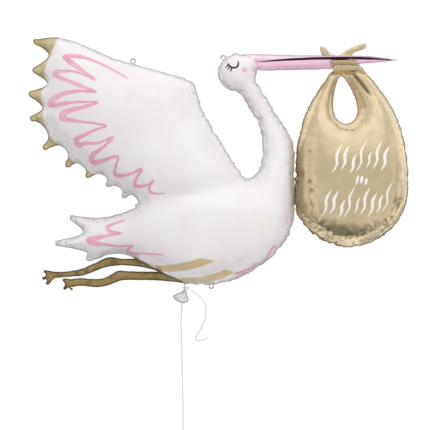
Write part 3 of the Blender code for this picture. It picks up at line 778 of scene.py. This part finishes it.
def storkEdges():
    rims = []
    for i, loop in enumerate(weldLoops("stork")):
        rim = smoothRim(loop, film["rimStep"])
        if i == 0:
            rim = rippled(rim, 0.0105)
        elif np.ptp(rim[:, 0]) > 0.05:
            low = rim[:, 1].min()  # the slit's lips close round the tie
            left, right = placed(stork["slitEnds"])[:, 0]
            t = (rim[:, 0] - rim[:, 0].min()) / np.ptp(rim[:, 0])
            rim = np.column_stack([left + (right - left) * t, low + (rim[:, 1] - low) * 0.42])
        rims.append(rim)
    return rims


storkRims = storkEdges()


def mouthWelds():
    line = smoothLine(placed(stork["mouth"]), 0.005)
    slit = max(storkRims[1:], key=len)[:, 0]
    return [line[line[:, 0] < slit.min() - 0.004], line[line[:, 0] > slit.max() + 0.004]]


storkWelds = mouthWelds()
settledStork = inflated("storkFilm", storkCad, storkRims, storkWelds, storkScallop)
print("stork blown up")
storkMesh, storkPlaces, storkFront = finerFilm(
    "storkFilm", storkCad, storkRims, storkWelds, settledStork, storkDetail, lambda x, y: stork["creases"]
)
print("stork film: %d triangles" % len(storkMesh.polygons))
goldEdge, legs = areaField(storkPlaces, stork["goldEdge"]), areaField(storkPlaces, stork["legEdge"])
eyeInk = np.where(storkFront, strokes(storkPlaces, stork["eye"]), -0.05)  # the face is on the front only
fromCheek = np.linalg.norm(storkPlaces - placed([stork["cheek"]])[0], axis=1) + 0.1 * ~storkFront
for layer, values in {
    "pinkInk": strokes(storkPlaces, [stork["wingScribble"], stork["tailScribble"], stork["breastScribble"]]),
    "blackInk": np.maximum(strokeField(storkPlaces, stork["mouthLine"]), eyeInk),
    "goldEdge": goldEdge,
    "thighs": np.max([areaField(storkPlaces, loop) for loop in stork["thighs"]], axis=0),
    "legRoot": strokeField(storkPlaces, stork["legRoot"]),
    "legs": legs,
    "goldOrLeg": np.maximum(goldEdge, legs),
    "beak": beakField(storkPlaces),
    "upperBeak": storkPlaces[:, 1] - placed([(0, stork["lips"])])[0][1],
    # the distance from the weld places the painted shade along the edge
    "paintedShadeDistance": distances(nearTree(np.concatenate(storkRims)), storkPlaces),
    "cheek": fromCheek,
}.items():
    setLayer(storkMesh, layer, values)


def printMask(tree, name, low, high):
    # 0 to 1 as a printed layer's distance goes from low to high, in metres
    layer = addNode(tree, "ShaderNodeAttribute", {"attribute_name": name}).outputs["Fac"]
    return addNode(
        tree, "ShaderNodeMapRange", {"interpolation_type": "SMOOTHSTEP"}, {0: layer, 1: low, 2: high}
    ).outputs[0]


def painted(tree, under, *layers):
    # each layer is a colour, then the factors whose product says how much of it
    for over, amount, *factors in layers:
        for factor in factors:
            product = addNode(tree, "ShaderNodeMath", {"operation": "MULTIPLY"}, {0: amount, 1: factor})
            amount = product.outputs[0]
        mix = addNode(tree, "ShaderNodeMix", {"data_type": "RGBA"}, {0: amount, 6: under, 7: over})
        under = mix.outputs[2]
    return under


def speckle(tree, scale, detail=3.0, low=0.35, high=0.65):
    # soft patches that mottle a colour; scale is patches a metre, so 25 has them 40 mm apart
    place = addNode(tree, "ShaderNodeTexCoord").outputs["Object"]
    field = addNode(tree, "ShaderNodeTexNoise", None, {"Vector": place, "Scale": scale, "Detail": detail})
    return addNode(
        tree, "ShaderNodeMapRange", {"interpolation_type": "SMOOTHSTEP"},
        {0: field.outputs[0], 1: low, 2: high},
    ).outputs[0]


def crinkled(tree, shader, scale, detail, strength):
    # shallow dents in blown-up film, and finer ones in them; a scale of 55 has them 18 mm apart
    place = addNode(tree, "ShaderNodeTexCoord").outputs["Object"]
    field = addNode(tree, "ShaderNodeTexNoise", None, {
        "Vector": place, "Scale": scale, "Detail": detail, "Roughness": 0.6
    })
    bump = addNode(
        tree, "ShaderNodeBump", None, {"Height": field.outputs[0], "Strength": strength, "Distance": 0.004}
    )
    tree.links.new(bump.outputs[0], shader.inputs["Normal"])


pearl = {
    "white": "f6f3f5",
    "tint": "f1e8ec",
    "warmTint": "f3efe6",
    "pink": "f7a9c4",
    "pinkEdge": "e08aab",
    "pinkPale": "fbc9da",
    "gold": "c2ae7e",
    "goldPale": "d9c89e",
    "leg": "9f8959",
    "legDark": "6e5a33",
    "thigh": "d8c39a",
    # the beak's pink print, painted lighter on its upper half and darker on its lower half
    "beakLitUpper": "fdeef6",
    "beakShadedLower": "f0c9de",
    "beakEdge": "e9adcb",
    # painted shade colours for the welded edge; the brown also draws the printed line at the legs' root
    "line": "c2c0c2",
    "weldShade": "c1bfc2",
    "goldEdgeShade": "8a7850",
    "legLineAndEdgeShade": "54452a",
    "ink": "120f13",
    "metallic": 0.16,
    "specular": 0.25,  # under the usual 0.5, as ink takes off some of the shine
    "roughness": 0.30,
}


def pearlFilm():
    # metallised nylon film with a pearl white print: a satin that mirrors large lights softly
    material, tree, shader = newMaterial("metallised nylon film, pearl print")
    onBeak, onLeg = printMask(tree, "beak", -0.001, 0.003), printMask(tree, "legs", -0.001, 0.001)
    onGold = printMask(tree, "goldOrLeg", -0.001, 0.001)
    pinkFill = painted(tree, pearl["pink"], (pearl["pinkPale"], speckle(tree, 22.0)))
    goldWash = painted(tree, pearl["gold"], (pearl["goldPale"], speckle(tree, 30.0)))
    legSkin = painted(tree, pearl["leg"], (pearl["legDark"], speckle(tree, 45.0, 5.0, 0.45, 0.7), 0.8))
    # the beak's pink print with painted light: its upper half lighter, its lower half darker, as on a rounded
    # tube lit from above; mottled with a deeper pink
    beakPrintAndShade = painted(
        tree, pearl["beakShadedLower"],
        (pearl["beakLitUpper"], printMask(tree, "upperBeak", -0.004, 0.004)),
        (pearl["beakEdge"], speckle(tree, 35.0, 4.0, 0.45, 0.7), 0.4),
    )
    notPlain = addNode(tree, "ShaderNodeMath", {"operation": "MAXIMUM"}, {0: onGold, 1: onBeak}).outputs[0]
    plain = addNode(tree, "ShaderNodeMath", {"operation": "SUBTRACT"}, {0: 1.0, 1: notPlain}).outputs[0]
    # painted shade for the cut edge: grey on the white film, deeper pink on the beak, dark gold on the
    # feathers, brown on the legs
    goldShadedEdge = painted(tree, pearl["goldEdgeShade"], (pearl["legLineAndEdgeShade"], onLeg))
    rim = painted(tree, pearl["line"], (pearl["beakEdge"], onBeak), (goldShadedEdge, onGold))
    colour = painted(
        tree, pearl["white"],
        (pearl["tint"], speckle(tree, 5.0), 0.7),
        (pearl["warmTint"], speckle(tree, 9.0, 4.0, 0.5, 0.75), 0.6),
        (pearl["pink"], printMask(tree, "pinkInk", -0.009, 0.001), 0.35, speckle(tree, 40.0)),
        (pearl["pinkEdge"], printMask(tree, "pinkInk", -0.0010, 0.0006), 0.75),
        (pinkFill, printMask(tree, "pinkInk", 0.0008, 0.0050), 0.9),
        (goldWash, printMask(tree, "goldEdge", -0.004, 0.006)),
        (pearl["thigh"], printMask(tree, "thighs", -0.002, 0.002)),
        (legSkin, printMask(tree, "legs", -0.0015, 0.0015)),
        (pearl["legLineAndEdgeShade"], printMask(tree, "legRoot", -0.004, 0.001), speckle(tree, 90.0, 3.0, 0.35, 0.5)),
        (beakPrintAndShade, onBeak),
        (pearl["pink"], printMask(tree, "cheek", 0.018, 0.006), 0.30),
        (pearl["pinkEdge"], printMask(tree, "cheek", 0.0100, 0.0085), 0.55,
         printMask(tree, "cheek", 0.0045, 0.0065)),
        # painted shade along the weld: a grey band, and at the cut edge a darker copy of each part's colour,
        # where the film turns down to the seam
        (pearl["weldShade"], printMask(tree, "paintedShadeDistance", 0.0210, 0.0120), 0.7, plain,
         speckle(tree, 58.0, 4.0, 0.42, 0.58)),
        (rim, printMask(tree, "paintedShadeDistance", 0.0072, 0.0035), 0.85),
        (pearl["ink"], printMask(tree, "blackInk", -0.0007, 0.0007)),
    )
    tree.links.new(colour, shader.inputs["Base Color"])
    shader.inputs["Specular IOR Level"].default_value = pearl["specular"]
    shader.inputs["Metallic"].default_value = pearl["metallic"]
    shader.inputs["Roughness"].default_value = pearl["roughness"]
    crinkled(tree, shader, 55.0, 4.0, 0.12)
    return material


finishPiece("storkFilm", storkMesh, pearlFilm(), ["stork"])


# ---- the bundle
bundle = {
    "gold": "e4d2ac",
    "goldMottleAndShade": "98805a",
    "foldShadeColour": "5e4826",
    "print": "fbf6ee",
    "roughness": 0.16,
    "printRoughness": 0.45,
    "left": (71.5, 20),  # the middle of its left edge, which puckers most
    "rows": [  # rows of brush strokes: left, right, foot at the left and at the right, tallest, how many
        (79.0, 93.4, 29.4, 30.8, 8.2, 7),
        (84.6, 88.0, 26.4, 26.8, 2.8, 3),
        (76.4, 94.0, 18.2, 19.2, 8.0, 9),
    ],
    "stroke": 0.42,  # half its width where it is fattest
    "fold": [(84.9, 57.2), (86.0, 55.4), (87.4, 53.5), (88.8, 51.5), (90.4, 49.1)],
    "tieTop": 59.66,
    "tieEdges": (  # metres up from its top, and the places of its left and right edge there
        [-0.062, -0.045, -0.030, -0.022, -0.008, 0.0],
        [79.2, 79.8, 80.1, 80.0, 79.8, 79.7],
        [89.4, 88.4, 87.7, 87.1, 86.0, 85.3],
    ),
    "inSlit": (79.7, 85.3),
    "tieRoute": [  # up the picture from its top, and above the seam
        (-0.062, 0.012), (-0.045, 0.0185), (-0.030, 0.0225), (-0.016, 0.0235), (-0.007, 0.0215),
        (-0.0030, 0.015), (-0.0012, 0.008), (-0.0006, 0.0), (-0.0004, -0.009), (0.003, -0.0166),
        (0.012, -0.0178),
    ],
    "tieThickness": 0.0006,
    "leftEar": [
        (82.0, 60.3), (80.4, 61.2), (79.4, 61.6), (78.7, 62.6), (77.7, 63.3), (76.8, 63.1), (77.2, 61.3),
        (78.6, 60.3),
    ],
    "rightEar": [
        (81.2, 60.3), (82.4, 61.3), (83.9, 62.4), (85.4, 63.2), (88.5, 64.2), (89.0, 63.7), (88.4, 62.7),
        (85.7, 61.7), (84.8, 60.3),
    ],
    "earHeight": 0.0072,
    "behind": 0.0167,  # the ears' plane, below the seam
}


def brushRows():
    # leaning brush strokes, tall and short, all bent the same way
    made = []
    for left, right, footLeft, footRight, tallest, count in bundle["rows"]:
        for i in range(count):
            t = (i + 0.5) / count
            tall = tallest * (0.74 + 0.26 * math.sin(i * 2.5 + 0.6))
            x = left + (right - left) * t
            y = footLeft + (footRight - footLeft) * t + tallest * 0.08 * math.sin(i * 1.9)
            fat = bundle["stroke"] * (0.8 + 0.2 * math.sin(i * 1.3))
            made.append([
                (x - tall * 0.16, y, 0.06), (x + 0.1, y + tall * 0.3, fat * 0.8),
                (x + 0.15, y + tall * 0.65, fat), (x + tall * 0.2, y + tall, 0.07),
            ])
    return made


bundleCad = cadTree("bundle")


def bundleRims():
    outer, hole = (smoothRim(loop, film["rimStep"] * 0.8) for loop in weldLoops("bundle")[:2])
    near = np.exp(-(np.linalg.norm(outer - placed([bundle["left"]])[0], axis=1) / 0.22) ** 2)
    outer = inward(outer, -0.0105 * near[:, None])  # reaches the breast
    outer = inward(outer, ((0.0055 + 0.0090 * near) * wrinkles(outer, 0.5))[:, None])
    return [outer, inward(hole, (0.0015 * wrinkles(hole, 0.5))[:, None])]


def bundleScallop(x, y):
    left = math.exp(-(math.dist((x, y), placed([bundle["left"]])[0]) / 0.25) ** 2)
    wave = 0.003 * noise.noise(Vector((x, y, 1)) * 30) + 0.0016 * noise.noise(Vector((x, y, 5)) * 70)
    return 0.0025 * left + (1 + 1.6 * left) * wave


brushed = brushRows()


def bundleDetail(points):
    inkHere = strokes(points, brushed)
    return np.where(inkHere > 0, inkHere * 0.5, inkHere)


def bundleCreases(x, y):
    left = math.exp(-(math.dist((x, y), placed([(71.5, 22)])[0]) / 0.22) ** 2)
    hole = math.exp(-(math.dist((x, y), placed([(87.2, 39.5)])[0]) / 0.07) ** 2)
    south = math.exp(-(math.dist((x, y), placed([(81.2, 24)])[0]) / 0.30) ** 4)
    return 0.0025 + 0.0040 * south + 0.0140 * left + 0.0100 * hole, 0.020 + 0.014 * left + 0.024 * hole


rims = bundleRims()
settledBundle = inflated("bundleFilm", bundleCad, rims, [], bundleScallop)
print("bundle blown up")
bundleMesh, bundlePlaces, bundleFront = finerFilm(
    "bundleFilm", bundleCad, rims, [], settledBundle, bundleDetail, bundleCreases
)
print("bundle film: %d triangles" % len(bundleMesh.polygons))


def foldStrap():
    # the right strap is folded in lengthwise: its inner side lies a step lower, and a painted shade runs
    # along the fold's inner side
    line = smoothLine(placed(bundle["fold"]), 0.002)
    shade = np.zeros(len(bundleMesh.vertices))
    for v in bundleMesh.vertices:
        x, y, z = v.co
        if z < drawing["seamHeight"] + 0.004:
            continue
        gaps = line - (x, y)
        k = int(np.argmin((gaps**2).sum(axis=1)))
        a, b = line[max(k - 1, 0)], line[min(k + 1, len(line) - 1)]
        run = (b - a) / np.linalg.norm(b - a)
        side = run[0] * (y - line[k][1]) - run[1] * (x - line[k][0])  # more than 0 on the strap's outside
        t = k / (len(line) - 1)
        if abs(side) > 0.03 or (k in (0, len(line) - 1) and math.dist((x, y), line[k]) > abs(side) + 0.004):
            continue
        fade = min(1, 5 * t, 4 * (1 - t))
        step = 1 / (1 + math.exp(min(30, max(-30, side / 0.0016))))
        drop = 0.0065 * step * math.exp(min(0, side) / 0.02) + 0.0060 * math.exp(-(side / 0.0030) ** 2)
        v.co.z -= fade * drop
        # painted shade: a dark streak just inside the fold, in place of the dark room it would mirror
        shade[v.index] = fade * math.exp(-((side + 0.005) / 0.007) ** 2)
    return shade


fromHole = distances(nearTree(rims[1]), bundlePlaces)
for layer, values in {
    "foldShade": foldStrap(),
    "whiteInk": np.where(bundleFront, strokes(bundlePlaces, brushed), -0.05),
    # painted shade: the gold darkens near the outer weld and round the hole
    "paintedShadeDistance": np.minimum(distances(nearTree(rims[0]), bundlePlaces), 2.5 * fromHole),
    "nearHole": np.exp(-(fromHole / 0.030) ** 2),
}.items():
    setLayer(bundleMesh, layer, values)


def goldFilm():
    # metallised polyester film, satin gold: a mirror just dull enough to blur the room
    material, tree, shader = newMaterial("metallised polyester film, satin gold")
    white = printMask(tree, "whiteInk", -0.0007, 0.0007)
    colour = painted(
        tree, bundle["gold"],
        # painted shade: darker gold near the welds, the hole, the ears' rims and across the tie; then a
        # random mottle of the same colour
        (bundle["goldMottleAndShade"], printMask(tree, "paintedShadeDistance", 0.0110, 0.0010), 0.8),
        (bundle["goldMottleAndShade"], speckle(tree, 25.0), 0.12),
        # painted shade along the fold
        (bundle["foldShadeColour"], printMask(tree, "foldShade", 0.1, 0.9), 0.9),
        (bundle["print"], white),
    )
    bare = addNode(tree, "ShaderNodeMath", {"operation": "SUBTRACT"}, {0: 1.0, 1: white})
    rough = addNode(
        tree, "ShaderNodeMapRange", None, {0: white, 3: bundle["roughness"], 4: bundle["printRoughness"]}
    )
    dulled = addNode(tree, "ShaderNodeMath", {"operation": "MULTIPLY_ADD"}, {
        0: printMask(tree, "nearHole", 0.0, 1.0), 1: 0.22, 2: rough.outputs[0]
    })  # too finely puckered there to mirror
    tree.links.new(colour, shader.inputs["Base Color"])
    tree.links.new(bare.outputs[0], shader.inputs["Metallic"])
    tree.links.new(dulled.outputs[0], shader.inputs["Roughness"])
    crinkled(tree, shader, 60.0, 5.0, 0.18)
    return material


goldFinish = goldFilm()
finishPiece("bundleFilm", bundleMesh, goldFinish, ["bundle"])


def tieSides(dy, dz):
    # its left and right edge: spread out on the bag, narrow in the slit and behind the beak
    if dz < 0.012 and dy > -0.02:
        left, right = bundle["inSlit"]
    else:
        downs, lefts, rights = bundle["tieEdges"]
        left, right = np.interp(dy, downs, lefts), np.interp(dy, downs, rights)
    return placed([(left, 0), (right, 0)])[:, 0]


def tieBand():
    # the gathered top of the bag: over the lower half of the beak, through its slit and up behind
    y0 = placed([(80, bundle["tieTop"])])[0][1]
    seam = drawing["seamHeight"]
    route = smoothLine(bundle["tieRoute"], 0.0016)
    bag = treeOf([v.co[:] for v in bundleMesh.vertices], [p.vertices[:] for p in bundleMesh.polygons])
    columns = 56
    bm = bmesh.new()
    rows = []
    for i, (dy, dz) in enumerate(route):
        t = i / (len(route) - 1)
        left, right = tieSides(dy, dz)
        row = []
        for j in range(columns + 1):
            u = j / columns * 2 - 1
            pleat = math.sin(u * 13 + 2.0 * math.sin(u * 4 + 1)) * 0.0012 + 0.0006 * math.sin(u * 27 + t * 3)
            pleat *= max(0.1, min(1, (-dy - 0.008) / 0.02))
            groove = -0.0022 * math.exp(-(((dy + 0.0245) - 0.0018 * math.sin(u * 7)) / 0.0034) ** 2)
            x = left + (right - left) * (u + 1) / 2
            y = y0 + dy - 0.0035 * u * u * max(0, min(1, (-dy - 0.002) / 0.01))
            z = seam + dz + pleat + groove - 0.004 * u**4 * (dz > 0)
            if dy < -0.02:
                hit = bag.ray_cast((x, y, 1), (0, 0, -1))[0]
                lip = max(0, (-dy - 0.044) / 0.018)  # the end sinks into the bag
                floor = hit.z if hit is not None else seam
                z = max(z * (1 - lip) + (floor - 0.004) * lip, floor + 0.0012 - 0.0052 * lip)
            row.append(bm.verts.new((x, y, z)))
        rows.append(row)
    for before, after in zip(rows, rows[1:]):
        for a, b, c, d in zip(before, before[1:], after[1:], after):
            bm.faces.new((a, b, c, d))
    bmesh.ops.recalc_face_normals(bm, faces=bm.faces)
    bmesh.ops.solidify(bm, geom=bm.faces[:], thickness=bundle["tieThickness"])
    bmesh.ops.recalc_face_normals(bm, faces=bm.faces)
    mesh = meshOf(bm, "tieBand")
    setLayer(mesh, "whiteInk", np.full(len(mesh.vertices), -0.05))
    down = y0 - np.array([v.co.y for v in mesh.vertices])
    shade = 0.0046 + 0.004 * np.clip((down - 0.022) / 0.004, 0, 1)  # painted shade: darker under the beak's upper half
    # painted shade: the groove across the band is darker still
    setLayer(mesh, "paintedShadeDistance", np.where(np.abs(down - 0.0245) < 0.0016, 0.0035, shade))
    return mesh


def ear(name, outline):
    # a small blown-up end of the tie
    rim = smoothLine(placed(outline), 0.0025, closed=True)
    rim = turnedLeft(rim, True)
    tree = nearTree(rim)
    low, high = rim.min(axis=0), rim.max(axis=0)
    rng = np.random.default_rng(2)
    grid = hexGrid(low, high, 0.0025, rng)
    grid = grid[insideOf(grid, rim)]
    grid = grid[distances(tree, grid) > 0.0016]
    points = np.concatenate([rim, grid])
    flat, faces = withoutShortcuts(points, [], [rim])
    away = distances(tree, flat)
    onRim = away < 1e-5
    rise = bundle["earHeight"] * np.sqrt(np.clip(1 - (1 - np.clip(away / 0.009, 0, 1)) ** 2, 0, 1))
    rise *= 1 + np.array([0.22 * noise.noise(Vector((x, y, 0)) * 110) for x, y in flat])
    rise[onRim] = 0
    free, whole = twoSheets(flat, faces, onRim)
    base = drawing["seamHeight"] - bundle["behind"]
    verts = np.concatenate([
        np.column_stack([flat, base + rise]), np.column_stack([flat[free], base - rise[free]])
    ])
    mesh = bpy.data.meshes.new(name)
    mesh.from_pydata(verts.tolist(), [], whole.tolist())
    mesh.validate()
    setLayer(mesh, "whiteInk", np.full(len(verts), -0.05))
    # painted shade: the gold darkens towards each ear's rim
    setLayer(mesh, "paintedShadeDistance", np.concatenate([away, away[free]]) * 5)
    return mesh


finishPiece("tieBand", tieBand(), goldFinish, ["bundle"])
for name in ("leftEar", "rightEar"):
    finishPiece(name, ear(name, bundle[name]), goldFinish, ["bundle"])
print("bundle and tie made")


# ---- floor and light
studio = {
    "room": {  # of pure white, from one direction to another: axis, from, to, and the two values
        "high": (2, 0.5, 0.9, 0.90, 0.70),  # the room beside the camera, and behind it
        "north": (1, 0.26, 0.40, 0.0, 0.29),  # more of it beyond the head, a bright window
        "northLeft": (0, -0.48, -0.22, 0.0, 1.0),
        "northRight": (0, 0.62, 0.42, 0.0, 1.0),
        "south": (1, -0.62, -0.85, 0.0, -0.60),  # less of it beyond the feet, over a short stretch
        "southLeft": (0, -0.75, -0.45, 0.0, 1.0),
        "southRight": (0, 0.75, 0.45, 0.0, 1.0),
        "overFloor": (2, -0.03, 0.05, 0.0, 1.0),
        "patchesHigh": (2, 0.85, 0.65, 0.0, 0.22),  # how much darker its patches are, high up
        "patchesLow": (2, 0.42, 0.20, 0.0, 0.46),  # and how much more so from the horizon down
        "patchesNorth": (1, 0.25, -0.15, 0.25, 1.0),  # hardly any beyond the head
        "patchesWest": (0, -0.2, -0.7, 1.0, 1.6),  # more to the left
    },
    "under": 1.16,
    "patches": (5.0, 0.46, 0.56),  # how many, and the noise's values between which they fade in
    "floor": 0.90,
    "backdrop": 1.0,
    "panel": ((1.1, 0.0, 3.3), (4.6, 3.8), 31),  # place, size, watts; too soft to show in the film's gloss
}


def stagePiece(name, strength, shape):
    # white paper round the object; mirrors and shade see the room instead
    material, tree, shader = newMaterial(name)
    shader.inputs["Base Color"].default_value = (0.16, 0.16, 0.16, 1)
    shader.inputs["Roughness"].default_value = 0.9
    shader.inputs["Specular IOR Level"].default_value = 0.0
    shader.inputs["Emission Color"].default_value = (1, 1, 1, 1)
    shader.inputs["Emission Strength"].default_value = strength
    bm = bmesh.new()
    shape(bm)
    mesh = meshOf(bm, name)
    mesh.materials.append(material)
    piece = linked(name, mesh)
    piece.visible_glossy = piece.visible_diffuse = piece.visible_shadow = False


def whiteStage():
    stagePiece("floor", studio["floor"], lambda bm: bmesh.ops.create_grid(
        bm, x_segments=1, y_segments=1, size=6
    ))
    stagePiece("backdrop", studio["backdrop"], lambda bm: bmesh.ops.create_uvsphere(
        bm, u_segments=48, v_segments=24, radius=14
    ))


def softRoom():
    world = bpy.data.worlds.new("soft room")
    bpy.context.scene.world = world
    world.use_nodes = True
    tree = world.node_tree
    background = tree.nodes["Background"]
    way = addNode(tree, "ShaderNodeTexCoord").outputs["Generated"]
    axes = addNode(tree, "ShaderNodeSeparateXYZ", None, {0: way}).outputs
    found = {"under": studio["under"], "one": 1.0}
    for name, (axis, low, high, start, end) in studio["room"].items():
        found[name] = addNode(tree, "ShaderNodeMapRange", {"interpolation_type": "SMOOTHSTEP"}, {
            0: axes[axis], 1: low, 2: high, 3: start, 4: end
        }).outputs[0]
    scale, low, high = studio["patches"]
    blots = addNode(tree, "ShaderNodeTexNoise", None, {0: way, "Scale": scale, "Detail": 2.0}).outputs[0]
    found["patch"] = addNode(
        tree, "ShaderNodeMapRange", {"interpolation_type": "SMOOTHSTEP"}, {0: blots, 1: low, 2: high}
    ).outputs[0]
    for name, operation, a, b in (
        ("northWide", "MULTIPLY", "northLeft", "northRight"), ("window", "MULTIPLY", "north", "northWide"),
        ("southWide", "MULTIPLY", "southLeft", "southRight"), ("dark", "MULTIPLY", "south", "southWide"),
        ("both", "ADD", "window", "dark"), ("upper", "ADD", "both", "high"),
        ("depth", "ADD", "patchesHigh", "patchesLow"), ("where", "MULTIPLY", "patchesNorth", "patchesWest"),
        ("spots", "MULTIPLY", "depth", "where"), ("taken", "MULTIPLY", "patch", "spots"),
        ("kept", "SUBTRACT", "one", "taken"),
    ):
        found[name] = addNode(
            tree, "ShaderNodeMath", {"operation": operation}, {0: found[a], 1: found[b]}
        ).outputs[0]
    whole = addNode(tree, "ShaderNodeMix", {"data_type": "FLOAT"}, {
        0: found["overFloor"], 2: found["under"], 3: found["upper"]
    })
    level = addNode(tree, "ShaderNodeMath", {"operation": "MULTIPLY"}, {
        0: found["kept"], 1: whole.outputs[0]
    })
    tree.links.new(level.outputs[0], background.inputs["Strength"])
    background.inputs["Color"].default_value = (1, 1, 1, 1)


def softPanel():
    spot, size, watts = studio["panel"]
    data = bpy.data.lights.new("softPanel", "AREA")
    data.shape = "RECTANGLE"
    data.size, data.size_y = size
    data.energy = watts
    lamp = linked("softPanel", data)
    lamp.location = spot
    lamp.visible_glossy = False
    lamp.visible_camera = False


whiteStage()
softRoom()
softPanel()
bpy.context.scene.view_settings.view_transform = "Standard"
print("room lit")
